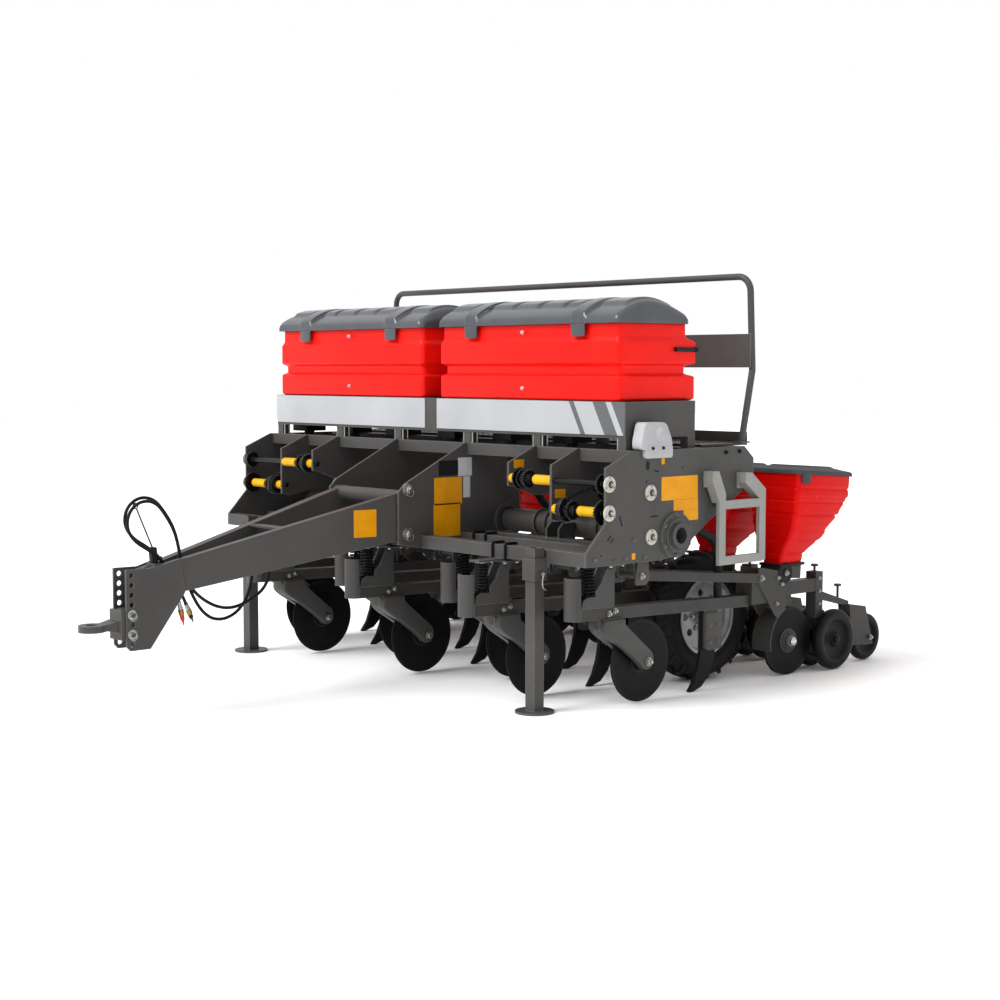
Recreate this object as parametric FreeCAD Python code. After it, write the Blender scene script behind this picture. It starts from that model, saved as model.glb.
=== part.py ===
import FreeCAD, Part
import os
from math import atan2, cos, hypot, pi, radians, sin, tan

Vec = FreeCAD.Vector

# Millimetres. While it is drawn the machine is measured from three planes: X = 0 is its centre plane,
# Y = 0 the front face of the lower front tool bar, with the drawbar towards -Y, and Z = 0 the ground.
# The last step moves every piece so that the origin is under the middle of the whole machine.

# Clearances
seat_gap = 0.3              # between a loose piece and its seat
running_fit = 0.05          # radial, journal in bearing
moving_gap = 6              # beside pieces that move past each other
floor_gap = 3               # soil tools hang this far over the ground when parked

# Rows
row_count = 7
row_spacing = 450
rank_stagger = 270          # rear rank of coulters behind the front rank

# Frame: bars run across, upright plates along
frame_half_width = 1495     # outer face of the side plates
plate_thickness = 12
bar_size = 65
lower_bar_z = 710           # underside of the lower bars
third_bar_y = 404
upper_bar_size = 60
upper_bar_y = 316
deck_z = 1240               # top edge of the plates
cradle_bar_y = 754
rear_bar_y = 1040
nose_y = 126                # plates step back over the lower front bar
nose_bottom = 908
nose_top = 1166
slope_end_y = 302
side_plate_rear = 1188
inner_plate_rear = 690
transmission_plate_x = 1125     # centre planes of the inner plates
inner_plate_x = 820
centre_plate_x = 289
ear_y = -143                # front edge of the centre plates
ear_top = 1042

# Ground-wheel lift
lift_y = 604
lift_z = 825
lift_tube_radius = 60
journal_radius = 59
journal_bore = 40
journal_reach = 44          # of the tube's open ends beyond the side plates
hub_radius = 110
hub_depth = 24
hub_boss_radius = 82
bearing_radius = 98
wheel_x = 1125
wheel_y = 1190
tyre_radius = 340
tyre_width = 176
lug_height = 20
lug_count = 20
rim_radius = 205
rim_wall = 7
axle_radius = 27
arm_x = 985
arm_thickness = 38
arm_depth = 104
crank_radius = 240
crank_angle = 100           # of the crank above +Y, at rest
cylinder_x = 225
cylinder_radius = 38
cylinder_neck = 46
rod_radius = 20
clevis_pin_radius = 15
anchor_y = 33
anchor_z = 860
clevis_plate = 12
clevis_half_gap = 26

# Drawbar
hitch_front = -1567
hitch_half_gap = 52         # inner faces of the hitch plates
hitch_plate = 10
hitch_top = 700
hitch_low = 340
hitch_bend_y = -1440
gusset_low = 319
beam_thickness = 45
beam_rear_y = -75
beam_front_height = (550, 693)      # underside and top of the beam where it meets the hitch plates
beam_rear_height = (762, 1010)
cross_tube_radius = 35
cross_tube_y = -100
cross_tube_heights = (802, 975)
hitch_hole_radius = 13
hitch_hole_pitch = 46
hitch_hole_count = 8
eye_y = -1712
eye_outer = 62
eye_bore = 31
eye_thickness = 32
eye_z = 436

# Jacks
jack_x = 1197
jack_y = -45
jack_tube = 62
jack_wall = 5
sleeve_wall = 10
sleeve_low = 632
sleeve_high = 736
jack_slack = 0.5
jack_foot_radius = 94
jack_foot_thickness = 10
jack_leg_top = 785

# Fertiliser hoppers and their cradle
hopper_inner_x = 74
hopper_outer_x = 1392
hopper_front = 318
hopper_rear = 806
hopper_floor = 1470
hopper_top = 1844
hopper_wall = 8
hopper_corner = 58          # cut off each upright corner, in plan
# Up each bin: height, how far the wall is drawn in, and how far the rear wall stands behind the lip's
hopper_levels = ((1470, 14, 40), (1480, 0, 54), (1592, 0, 54), (1606, 22, 6), (1634, 22, 6), (1652, 0, 62),
                 (1752, 0, 62), (1784, 12, 0), (1844, 12, 0))
lid_overhang = 16
lid_edge = 26
lid_crown = 116
lid_wall = 6
lid_corner = 34
lid_band = 8                # raised over the lid's skin
strap_width = 95
strap_drop = 62
strap_centres = (336, 1125)
hinge_y = 820
hinge_z = 1852
hinge_pin_radius = 4
cradle_low = 1296
cradle_half_width = 1433
cradle_wall = 8
panel_thickness = 4
panel_height = 160
post_size = 50
meter_y = 490
meter_low = 1255
drop_tube_radius = 22

# Walkway, rail and ladder
deck_front = 866
deck_rear = 1212
deck_thickness = 12
kick_height = 54
rail_radius = 17
rail_x = 1432
rail_top = 2108
rail_foot = (1165, 1252)
rail_kink = (1246, 1620)
rail_head_y = 1222
rail_corner = 75
board_low = 1632
board_high = 1802
ladder_reach = 60
ladder_tube = 48
ladder_wall = 20
ladder_front = ((832, 1096), (884, 998), (896, 660))
ladder_rear = ((1081, 1080), (1190, 1008), (1190, 664))
rung_height = 42

# Transmission
shaft_radius = 14
upper_shaft = (148, 1090)
lower_shaft = (148, 955)
middle_shaft = (428, 1038)
bush_radius = 24
near_bush = 46
far_bush = 122
outer_wheel = 57            # big sprocket beside the side plate
outer_wheel_gap = 36
washer_radius = 37
washer_thickness = 4
sprocket_radii = (52, 44, 36, 44)
sprocket_pitch = 22
stack_inset = 60            # of the first sprocket from its plate's centre plane
sprocket_tooth = 13         # along the rim
chain_depth = 9

# Row units, along Y from the rank's own datum: 0 for the front rank
cover_back = -206
cover_radius = 48
cover_wall = 4
cover_low = 443
cover_high = 646
spring_y = -120
spring_radius = 36
spring_wire = 6
spring_coils = 9
spring_rod_radius = 11
row_beam_width = 70
row_beam_height = 58
row_beam_front_z = 441
row_beam_rear_z = 400
row_beam_rear_y = 1296      # of both ranks
hanger_plate = 10
disc_y = 245
disc_radius = 203
disc_thickness = 6
disc_hub_radius = 46
disc_hub_half = 13
fork_plate = 28
fork_depth = 62
axle_pin_radius = 14
shank_thickness = 20
shank_front = 690
shank_rear = 795

# Seed units, all rows alike, along Y from the frame's datum
link_front = (440, 632)
link_rear = (1348, 545)
link_height = 46
link_plate = 10
link_x = 62
link_pin_radius = 12
cheek_plate = 8
unit_rear_y = 1915
opener_y = 1640
opener_radius = 181
opener_thickness = 4
opener_tilt = 4
opener_hub_end = 30
opener_pin_radius = 11
gauge_y = 1957
gauge_radius = 163
gauge_width = 52
gauge_x = 74
gauge_axle_radius = 14
press_y = 2330
press_radius = 130
press_width = 50
fork_half = 40
seed_neck_z = 600
seed_top_z = 1080
seed_tilt = -4

frame_inner_x = frame_half_width - plate_thickness
row_positions = [(i - (row_count - 1) / 2) * row_spacing for i in range(row_count)]
row_datums = [rank_stagger if i % 2 == 0 else 0 for i in range(row_count)]


def block(x0, x1, y0, y1, z0, z1):
    return Part.makeBox(x1 - x0, y1 - y0, z1 - z0, Vec(x0, y0, z0))


def sheet_yz(outline, x0, thickness):
    """A plate standing along the machine: an outline of (Y, Z) corners made thick along +X."""
    corners = [Vec(x0, y, z) for y, z in outline]
    face = Part.Face(Part.makePolygon(corners + corners[:1]))
    return face.extrude(Vec(thickness, 0, 0))


def rod_x(y, z, radius, x0, x1):
    return Part.makeCylinder(radius, x1 - x0, Vec(x0, y, z), Vec(1, 0, 0))


def rod_z(x, y, radius, z0, z1):
    return Part.makeCylinder(radius, z1 - z0, Vec(x, y, z0), Vec(0, 0, 1))


def rod(start, end, radius):
    return Part.makeCylinder(radius, (end - start).Length, start, end - start)


def fused(shapes):
    return shapes[0].multiFuse(shapes[1:]).removeSplitter() if len(shapes) > 1 else shapes[0]


def mirrored(shape):
    return shape.mirror(Vec(0, 0, 0), Vec(1, 0, 0))


def both_sides(shapes):
    return shapes + [mirrored(s) for s in shapes]


def at_rows(make):
    """One solid per row: make(x, datum) is called with each row's place."""
    return [make(x, datum) for x, datum in zip(row_positions, row_datums)]


def bent_tube(points, radius, bends=None):
    """Straight runs joined by tangent arcs. Returns the solid and the arcs' radii."""
    runs = [(b - a).Length for a, b in zip(points, points[1:])]
    edges, radii, start = [], [], points[0]
    for i in range(1, len(points) - 1):
        before = (points[i - 1] - points[i]).normalize()
        after = (points[i + 1] - points[i]).normalize()
        half_turn = (pi - before.getAngle(after)) / 2
        arc_radius = 0.45 * min(runs[i - 1], runs[i]) / tan(half_turn)
        if bends:
            arc_radius = min(arc_radius, bends)
        radii.append(arc_radius)
        setback = arc_radius * tan(half_turn)
        first, last = points[i] + before * setback, points[i] + after * setback
        centre = points[i] + (before + after).normalize() * (arc_radius / cos(half_turn))
        middle = centre + (points[i] - centre).normalize() * arc_radius
        edges.append(Part.LineSegment(start, first).toShape())
        edges.append(Part.Arc(first, middle, last).toShape())
        start = last
    edges.append(Part.LineSegment(start, points[-1]).toShape())
    path = Part.Wire(edges)
    ring = Part.Wire(Part.makeCircle(radius, points[0], points[1] - points[0]))
    return path.makePipeShell([ring], True, False), radii, path.Length


# ---------------------------------------------------------------- frame

def bar_boxes():
    """Square tool bars across the frame, between the side plates."""
    x0, x1 = -frame_inner_x, frame_inner_x
    lower = [block(x0, x1, y, y + bar_size, lower_bar_z, lower_bar_z + bar_size)
             for y in (0, rank_stagger, third_bar_y)]
    upper_low = deck_z - upper_bar_size
    upper = [block(x0, x1, y, y + upper_bar_size, upper_low, upper_low + upper_bar_size)
             for y in (upper_bar_y, cradle_bar_y, rear_bar_y)]
    return lower, upper


def nose_outline():
    return [(0, lower_bar_z), (0, lower_bar_z + bar_size), (nose_y, nose_bottom), (nose_y, nose_top),
            (slope_end_y, deck_z)]


def side_plate():
    outline = nose_outline() + [
        (side_plate_rear - 72, deck_z), (side_plate_rear, deck_z - 62), (side_plate_rear, 1065),
        (829, 865), (726, 795), (560, lower_bar_z + 6), (480, lower_bar_z)]
    plate = sheet_yz(outline, frame_inner_x, plate_thickness)
    flange = rod_x(lift_y, lift_z, hub_radius, frame_inner_x, frame_half_width + hub_depth / 2)
    boss = rod_x(lift_y, lift_z, hub_boss_radius, frame_inner_x, frame_half_width + hub_depth)
    bore = rod_x(lift_y, lift_z, journal_radius + running_fit, frame_inner_x, frame_half_width + hub_depth)
    return fused([plate, flange, boss]).cut(bore)


def hanging_plate(x, low_front, low_rear):
    """Plate that hangs from the front upper bar and carries the drive shafts, clear of the lift tube."""
    outline = [(nose_y, low_front), (nose_y, nose_top), (slope_end_y, deck_z), (inner_plate_rear - 60, deck_z),
               (inner_plate_rear, deck_z - 60), (inner_plate_rear, low_rear + 60), (540, low_rear),
               (300, low_rear), (180, low_front - 12)]
    return sheet_yz(outline, x - plate_thickness / 2, plate_thickness)


def centre_plate():
    """Full-height plate beside the drawbar, with the lift tube's bearing ring on its outer face."""
    x = centre_plate_x
    outline = [(0, lower_bar_z), (ear_y, lower_bar_z + 26), (ear_y, ear_top - 40), (ear_y + 40, ear_top),
               (slope_end_y, deck_z), (inner_plate_rear - 60, deck_z), (inner_plate_rear, deck_z - 60),
               (inner_plate_rear, 760), (540, lower_bar_z)]
    plate = sheet_yz(outline, x - plate_thickness / 2, plate_thickness)
    ring = rod_x(lift_y, lift_z, bearing_radius, x, x + plate_thickness / 2 + 14)
    return fused([plate, ring]).cut(rod_x(lift_y, lift_z, lift_tube_radius + moving_gap, x - 50, x + 50))


def frame_plates():
    lower, upper = bar_boxes()
    hanging = [hanging_plate(transmission_plate_x, 906, 918), hanging_plate(inner_plate_x, 1052, 996)]
    cut = [p.cut(upper[:1]) for p in hanging] + [centre_plate().cut(lower + upper[:1])]
    return both_sides([side_plate()] + cut)


def row_hanger(x, datum):
    """Gusset cheeks from a lower bar down to the row's beam, with the spring's arm reaching forward."""
    floor = beam_top(datum, datum + 20)
    cheek = [(datum, lower_bar_z), (datum + 52, lower_bar_z), (datum + 30, 640),
             (datum + 30, beam_top(datum, datum + 30)), (datum - 190, beam_top(datum, datum - 190)),
             (datum - 176, floor + 46), (datum - 110, floor + 74), (datum - 60, 610), (datum - 34, 660)]
    arm_floor = lower_bar_z - hanger_plate
    cheeks = [sheet_yz(cheek, x + side, hanger_plate)
              for side in (-row_beam_width / 2, row_beam_width / 2 - hanger_plate)]
    arm = block(x - row_beam_width / 2, x + row_beam_width / 2, datum + spring_y - 45, datum + 52,
                arm_floor, lower_bar_z)
    spring_room = rod_z(x, datum + spring_y, spring_radius + moving_gap, spring_seat(datum) - 6, arm_floor)
    return fused(cheeks + [arm]).cut(spring_room)


def cylinder_anchor():
    side = [(0, lower_bar_z + bar_size), (bar_size, lower_bar_z + bar_size), (anchor_y + 24, anchor_z),
            (anchor_y + 10, anchor_z + 24), (anchor_y - 10, anchor_z + 24), (anchor_y - 24, anchor_z)]
    cheeks = [sheet_yz(side, cylinder_x + s, clevis_plate)
              for s in (clevis_half_gap, -clevis_half_gap - clevis_plate)]
    pin = rod_x(anchor_y, anchor_z, clevis_pin_radius, cylinder_x - clevis_half_gap - clevis_plate,
                cylinder_x + clevis_half_gap + clevis_plate)
    return fused(cheeks + [pin])


def link_bracket(x):
    """Cheeks under the third bar that carry the front pin of a row's upper links."""
    y, z = link_front
    outline = [(third_bar_y, lower_bar_z), (third_bar_y + bar_size, lower_bar_z), (y + 26, z - 10), (y, z - 26),
               (y - 26, z - 10)]
    cheeks = [sheet_yz(outline, x + s, link_plate) for s in (link_x - seat_gap - link_plate, seat_gap - link_x)]
    return cheeks + [rod_x(y, z, link_pin_radius, x - link_x - link_plate - 6, x + link_x + link_plate + 6)]


def tube_guards():
    """Pairs of upright plates on the third bar, just ahead of the lift tube."""
    front, rear = third_bar_y + 20, lift_y - lift_tube_radius - moving_gap
    foot, top = lower_bar_z + bar_size, lift_z + 24
    outline = [(front, foot), (front, top - 30), (front + 30, top), (rear, top), (rear, foot - 30),
               (third_bar_y + bar_size, foot - 30), (third_bar_y + bar_size, foot)]
    return both_sides([sheet_yz(outline, x, 12) for x in (776, 864)])


def tool_bars():
    lower, upper = bar_boxes()
    front, second, third = lower
    hangers = at_rows(row_hanger)
    front_hangers = [h for h, datum in zip(hangers, row_datums) if datum == 0]
    second_hangers = [h for h, datum in zip(hangers, row_datums) if datum > 0]
    brackets = [piece for x in row_positions for piece in link_bracket(x)]
    return [fused([front, cylinder_anchor()] + front_hangers), fused([second] + second_hangers),
            fused([third] + brackets + tube_guards())] + upper


# ---------------------------------------------------------------- lift and ground wheels

def arm_direction():
    return atan2(tyre_radius - lift_z, wheel_y - lift_y)


def wheel_arm():
    """Box arm from the torque tube to the axle, on the inner side of the wheel."""
    angle = arm_direction()
    ahead, up = Vec(0, cos(angle), sin(angle)), Vec(0, -sin(angle), cos(angle))
    tube, axle = Vec(arm_x, lift_y, lift_z), Vec(arm_x, wheel_y, tyre_radius)
    corners = [tube + up * arm_depth / 2, axle + up * arm_depth * 0.36 + ahead * 30,
               axle - up * arm_depth * 0.36 + ahead * 30, tube - up * arm_depth / 2]
    face = Part.Face(Part.makePolygon(corners + corners[:1]))
    bar = face.extrude(Vec(arm_thickness, 0, 0))
    collar = rod_x(lift_y, lift_z, lift_tube_radius + 16, arm_x - 6, arm_x + arm_thickness + 6)
    stub = rod_x(wheel_y, tyre_radius, axle_radius, arm_x, wheel_x + tyre_width / 2 - 30)
    return fused([bar, collar, stub])


def lift_frame():
    """Torque tube across the machine with two wheel arms and the cylinder's crank."""
    tube = rod_x(lift_y, lift_z, lift_tube_radius, -frame_inner_x + moving_gap, frame_inner_x - moving_gap)
    reach = frame_half_width + journal_reach
    journals = rod_x(lift_y, lift_z, journal_radius, -reach, reach)
    mouths = [rod_x(lift_y, lift_z, journal_bore, side * reach if side < 0 else reach - 160,
                    -reach + 160 if side < 0 else reach) for side in (-1, 1)]
    angle = radians(crank_angle)
    pin_y, pin_z = lift_y + crank_radius * cos(angle), lift_z + crank_radius * sin(angle)
    across = Vec(0, -sin(angle), cos(angle))
    root, tip = Vec(0, lift_y, lift_z), Vec(0, pin_y, pin_z)
    corners = [root + across * 60, tip + across * 30, tip - across * 30, root - across * 60]
    cheeks = []
    for s in (clevis_half_gap, -clevis_half_gap - clevis_plate):
        face = Part.Face(Part.makePolygon([c + Vec(cylinder_x + s, 0, 0) for c in corners + corners[:1]]))
        cheeks.append(face.extrude(Vec(clevis_plate, 0, 0)))
        cheeks.append(rod_x(pin_y, pin_z, 30, cylinder_x + s, cylinder_x + s + clevis_plate))
    pin = rod_x(pin_y, pin_z, clevis_pin_radius, cylinder_x - clevis_half_gap - clevis_plate,
                cylinder_x + clevis_half_gap + clevis_plate)
    ring = [rod_x(lift_y, lift_z, lift_tube_radius + 14, x, x + 14) for x in (560, 640)]
    return fused([tube, journals, wheel_arm(), mirrored(wheel_arm()), pin] + cheeks + ring).cut(mouths)


def cylinder_line():
    angle = radians(crank_angle)
    start = Vec(cylinder_x, anchor_y, anchor_z)
    end = Vec(cylinder_x, lift_y + crank_radius * cos(angle), lift_z + crank_radius * sin(angle))
    return start, end, (end - start).normalize()


def lift_cylinder():
    start, end, along = cylinder_line()
    half = clevis_half_gap - 2
    eye = rod_x(start.y, start.z, 28, cylinder_x - half, cylinder_x + half)
    barrel = fused([rod(start + along * cylinder_neck, start + along * 385, cylinder_radius),
                    rod(start + along * 10, start + along * cylinder_neck, half - 4)])
    bore = rod(start + along * 60, start + along * 386, rod_radius + running_fit)
    pin_hole = rod_x(start.y, start.z, clevis_pin_radius + running_fit, cylinder_x - half, cylinder_x + half)
    return fused([barrel, eye]).cut([bore, pin_hole])


def lift_rod():
    start, end, along = cylinder_line()
    half = clevis_half_gap - 2
    shaft = rod(start + along * 190, end - along * 20, rod_radius)
    eye = rod_x(end.y, end.z, 30, cylinder_x - half, cylinder_x + half)
    hole = rod_x(end.y, end.z, clevis_pin_radius + 4, cylinder_x - half, cylinder_x + half)
    return fused([shaft, eye]).cut(hole)


def turned_about_x(profile, y, z):
    """A ring turned about an axle along X: profile is (X, radius) corners."""
    corners = [Vec(x, y, z + r) for x, r in profile]
    face = Part.Face(Part.makePolygon(corners + corners[:1]))
    return face.revolve(Vec(0, y, z), Vec(1, 0, 0), 360)


def tyre_lug(x, side, turn):
    """One bar of the tread, leaning across from the middle to the shoulder."""
    tip, root = tyre_radius, tyre_radius - lug_height - 6
    half = tyre_width / 2
    lean, thick = 62, 15
    corners = []
    for z in (root, tip):
        inner, outer = side * -4, side * (half - 6)
        corners.append([Vec(inner, -thick, z), Vec(inner, thick, z),
                        Vec(outer, lean + thick, z - 16), Vec(outer, lean - thick, z - 16)])
    bar = Part.makeLoft([Part.makePolygon(c + c[:1]) for c in corners], True, True)
    bar.rotate(Vec(0, 0, 0), Vec(1, 0, 0), turn)
    bar.translate(Vec(x, wheel_y, tyre_radius))
    return bar


def tyre(x):
    """Traction tyre: a faceted carcass with slanting bars in turn left and right."""
    step = 360 / lug_count
    bars = [tyre_lug(x, side, (i + (0.5 if side > 0 else 0)) * step)
            for i in range(lug_count) for side in (1, -1)]
    return fused([carcass(x)] + bars)


def carcass(x):
    half = tyre_width / 2
    tread = tyre_radius - lug_height
    shoulder = tread - 20
    side = [(8, rim_radius + 20), (0, rim_radius + 60), (2, shoulder - 30), (20, shoulder + 8), (52, tread)]
    bead = [(x - half + 22, rim_radius + seat_gap), (x + half - 22, rim_radius + seat_gap)]
    count = 2 * lug_count
    wedge = []
    for turn in (0, 1):
        reach = [(place, r / cos(pi / count)) for place, r in
                 bead[:1] + [(x - half + inset, r) for inset, r in side] +
                 [(x + half - inset, r) for inset, r in side[::-1]] + bead[1:]]
        angle = pi * (2 * turn - 1) / count
        corners = [Vec(place, wheel_y + r * sin(angle), tyre_radius + r * cos(angle)) for place, r in reach]
        wedge.append(Part.makePolygon(corners + corners[:1]))
    facet = Part.makeLoft(wedge, True, True)
    facets = []
    for i in range(count):
        piece = facet.copy()
        piece.rotate(Vec(x, wheel_y, tyre_radius), Vec(1, 0, 0), 360 * i / count)
        facets.append(piece)
    return fused(facets)


def wheel_rim(x):
    """Dished disc rim: barrel, flanges, wheel disc and hub."""
    side = 1 if x > 0 else -1
    half = tyre_width / 2 - 16
    inner = rim_radius - rim_wall
    barrel = turned_about_x([(x - half, inner - 10), (x - half, rim_radius), (x + half, rim_radius),
                             (x + half, inner - 10), (x + half - 12, inner - 10), (x + half - 30, inner - 22),
                             (x - half + 30, inner - 22), (x - half + 12, inner - 10)], wheel_y, tyre_radius)
    dish_x = x + side * 18
    dish = rod_x(wheel_y, tyre_radius, inner - 20, dish_x - 5, dish_x + 5)
    hub_in, hub_out = x - side * 52, x + side * 62
    hub = rod_x(wheel_y, tyre_radius, 52, min(hub_in, hub_out), max(hub_in, hub_out))
    windows = []
    for i in range(8):
        angle = 2 * pi * i / 8
        y, z = wheel_y + 118 * cos(angle), tyre_radius + 118 * sin(angle)
        windows.append(rod_x(y, z, 20, dish_x - 9, dish_x + 9))
    bore_out = wheel_x + tyre_width / 2 - 29
    bore = rod_x(wheel_y, tyre_radius, axle_radius + running_fit, -bore_out, bore_out)
    return fused([barrel, dish, hub]).cut(windows + [bore])


# ---------------------------------------------------------------- drawbar

def beam_frame():
    """Along, inward and start of the right-hand beam's outer face, in plan."""
    outer_rear = centre_plate_x - plate_thickness / 2 - seat_gap
    run, rise = beam_rear_y - hitch_bend_y, outer_rear - hitch_half_gap
    length = hypot(run, rise)
    along = Vec(rise / length, run / length, 0)
    return Vec(hitch_half_gap, hitch_bend_y, 0), along, Vec(-along.y, along.x, 0), length


def beam_panel(outline, offset, thickness):
    start, along, inward, length = beam_frame()
    corners = [start + along * s + inward * offset + Vec(0, 0, z) for s, z in outline]
    face = Part.Face(Part.makePolygon(corners + corners[:1]))
    return face.extrude(inward * thickness)


def hose_stay():
    """Spring-steel stay on the drawbar with an open ring that holds the hoses' loop."""
    base = block(-40, 40, -1400, -1364, 698, 713)
    block_up = block(-4, 4, -1394, -1368, 713, 775)
    wire = rod(Vec(0, -1381, 768), Vec(0, -1470, 975), 4)
    return [base, block_up, wire]


def drawbar():
    """Two tapered beams that meet at the hitch, with cross tubes at the rear and a brace between."""
    length = beam_frame()[3]
    low, high = beam_front_height
    rear_low, rear_high = beam_rear_height
    beam = beam_panel([(0, low), (0, high), (length, rear_high), (length, rear_low)], 0, beam_thickness)
    beam = beam.common(block(0, 400, hitch_bend_y - 100, 200, 0, 1400))
    reach = centre_plate_x - plate_thickness / 2 - seat_gap
    tubes = [rod_x(cross_tube_y, z, cross_tube_radius, -reach, reach) for z in cross_tube_heights]
    brace = block(-140, 140, -760, -700, 838, 850)
    gland_plate = block(-140, 140, -850, -715, 668, 680)
    glands = [rod_z(x, y, 13, gland_low, 670) for x, y in gland_ends]
    return [fused([beam, mirrored(beam)] + tubes + [brace, gland_plate] + glands + hose_stay())]


def hitch_holes():
    return [hitch_top - 28 - i * hitch_hole_pitch for i in range(hitch_hole_count)]


def hitch_plates():
    """Drilled plates either side of the eye, each with a gusset along its beam."""
    start, along, inward, length = beam_frame()
    low = beam_front_height[0]
    plate = sheet_yz([(hitch_front, hitch_low), (hitch_front, hitch_top), (hitch_bend_y, hitch_top - 2),
                      (hitch_bend_y, gusset_low), (hitch_front + 20, gusset_low)], hitch_half_gap, hitch_plate)
    gusset = beam_panel([(0, gusset_low), (0, hitch_top - 2), (150, beam_front_height[1] + 40), (176, 575)],
                        -hitch_plate, hitch_plate)
    holes = [rod_x(hitch_front + 30, z, hitch_hole_radius, 0, 100) for z in hitch_holes()]
    plate = fused([plate, gusset]).cut(holes)
    back = block(-hitch_half_gap, hitch_half_gap, hitch_bend_y - 14, hitch_bend_y, gusset_low + 40,
                 hitch_top - 10)
    return [fused([plate, mirrored(plate), back])]


def hitch_eye():
    """Towing eye on a block that two pins hold in the row of holes."""
    half = hitch_half_gap - seat_gap
    pins = [hitch_holes()[4], hitch_holes()[6]]
    back = hitch_front + 62
    body = block(-half, half, hitch_front - 24, back, pins[1] - 24, pins[0] + 24)
    bolts = [rod_x(hitch_front + 30, z, hitch_hole_radius - running_fit, -hitch_half_gap - hitch_plate - 12,
                   hitch_half_gap + hitch_plate + 12) for z in pins]
    half_eye, eye_back = eye_thickness / 2, eye_y + eye_outer
    above = [(hitch_front - 24, eye_z + 30), (eye_back, eye_z + half_eye), (eye_y, eye_z + half_eye)]
    below = [(y, 2 * eye_z - z) for y, z in above[::-1]]
    tongue = sheet_yz(above + below, -40, 80)
    ring = rod_z(0, eye_y, eye_outer, eye_z - eye_thickness / 2, eye_z + eye_thickness / 2)
    hole = rod_z(0, eye_y, eye_bore, eye_z - 60, eye_z + 60)
    return [fused([body, tongue, ring] + bolts).cut(hole)]


# ---------------------------------------------------------------- jacks

def jack_sleeves():
    half = jack_tube / 2 + jack_slack
    outer = half + sleeve_wall
    tube = block(jack_x - outer, jack_x + outer, jack_y - outer, jack_y + outer, sleeve_low, sleeve_high)
    inner = block(jack_x - half, jack_x + half, jack_y - half, jack_y + half, sleeve_low, sleeve_high)
    pad = block(jack_x - outer - 12, jack_x + outer + 12, jack_y + outer, 0, lower_bar_z - 20,
                lower_bar_z + bar_size)
    return both_sides([fused([tube, pad]).cut(inner)])


def jack_leg(side):
    half = jack_tube / 2
    hollow = half - jack_wall
    x = side * jack_x
    tube = block(x - half, x + half, jack_y - half, jack_y + half, jack_foot_thickness, jack_leg_top)
    inside = block(x - hollow, x + hollow, jack_y - hollow, jack_y + hollow, jack_foot_thickness, jack_leg_top)
    foot = rod_z(x, jack_y, jack_foot_radius, 0, jack_foot_thickness)
    return [fused([tube.cut(inside), foot])]


# ---------------------------------------------------------------- hoppers

def cut_corners(x0, x1, y0, y1, corner, z):
    """A rectangle in plan with its corners cut off."""
    corners = [(x0 + corner, y0), (x1 - corner, y0), (x1, y0 + corner), (x1, y1 - corner), (x1 - corner, y1),
               (x0 + corner, y1), (x0, y1 - corner), (x0, y0 + corner)]
    points = [Vec(x, y, z) for x, y in corners]
    return Part.makePolygon(points + points[:1])


def tub(levels, inset):
    """A bin's body through the levels, each drawn in by the inset as well."""
    sections = []
    for z, draw, behind in levels:
        edge = draw + inset
        sections.append(cut_corners(hopper_inner_x + edge, hopper_outer_x - edge, hopper_front + edge,
                                    hopper_rear + behind - inset, hopper_corner, z))
    return Part.makeLoft(sections, True, True)


def fertiliser_hoppers():
    """Two long moulded bins with a deep waist all round, open at the top."""
    outer = tub(hopper_levels, 0)
    floor, top = hopper_floor + hopper_wall, hopper_levels[-1][0]
    inside = tub([(floor,) + hopper_levels[1][1:]] + list(hopper_levels[2:]), hopper_wall)
    inside = inside.common(block(0, 2000, 0, 2000, floor, top))
    return both_sides([fused([outer.cut(inside)] + hinge_ears())])


def lid_height(share):
    """Height of the crowned skin over the lid's edge: share runs from the front to the rear."""
    return (lid_crown - lid_edge) * sin(pi * share ** 0.9) ** 0.8


def lid_profile(raised, low, steps=14):
    """Section of the lid, its skin raised by a little or, below nought, inside the wall."""
    front, rear = hopper_front - lid_overhang - min(raised, 0), hopper_rear + min(raised, 0)
    points = [Vec(0, front, low)]
    for i in range(steps + 1):
        share = i / steps
        edge = hopper_top + seat_gap + lid_edge + raised
        crown = lid_height(share) if 0 < i < steps else 0
        points.append(Vec(0, front + (rear - front) * share, edge + crown))
    points.append(Vec(0, rear, low))
    return Part.makePolygon(points + points[:1])


def lid_body(x0, x1, raised, low):
    """The lid's solid form between two planes, with its upright corners cut off."""
    form = Part.Face(lid_profile(raised, low)).extrude(Vec(x1 - x0, 0, 0))
    form.translate(Vec(x0, 0, 0))
    plan = cut_corners(x0, x1, hopper_front - lid_overhang - min(raised, 0), hopper_rear + min(raised, 0),
                       lid_corner, low)
    return form.common(Part.Face(plan).extrude(Vec(0, 0, 400)))


def lid_bands(low):
    """Bands over the crown: a strap at each latch, with its tail down the bin's front, and ribs between."""
    bands = []
    for c in strap_centres:
        bands.append((c - strap_width / 2, c + strap_width / 2))
    for c in (strap_centres[0] - 190, (strap_centres[0] + strap_centres[1]) / 2 - 130,
              (strap_centres[0] + strap_centres[1]) / 2 + 130, strap_centres[1] + 190):
        bands.append((c - 26, c + 26))
    pieces = []
    for x0, x1 in bands:
        form = Part.Face(lid_profile(lid_band, low)).extrude(Vec(x1 - x0, 0, 0))
        form.translate(Vec(x0, 0, 0))
        pieces.append(form)
    return pieces


def hinge_places():
    return [hopper_inner_x + 150, (hopper_inner_x + hopper_outer_x) / 2, hopper_outer_x - 150]


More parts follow.
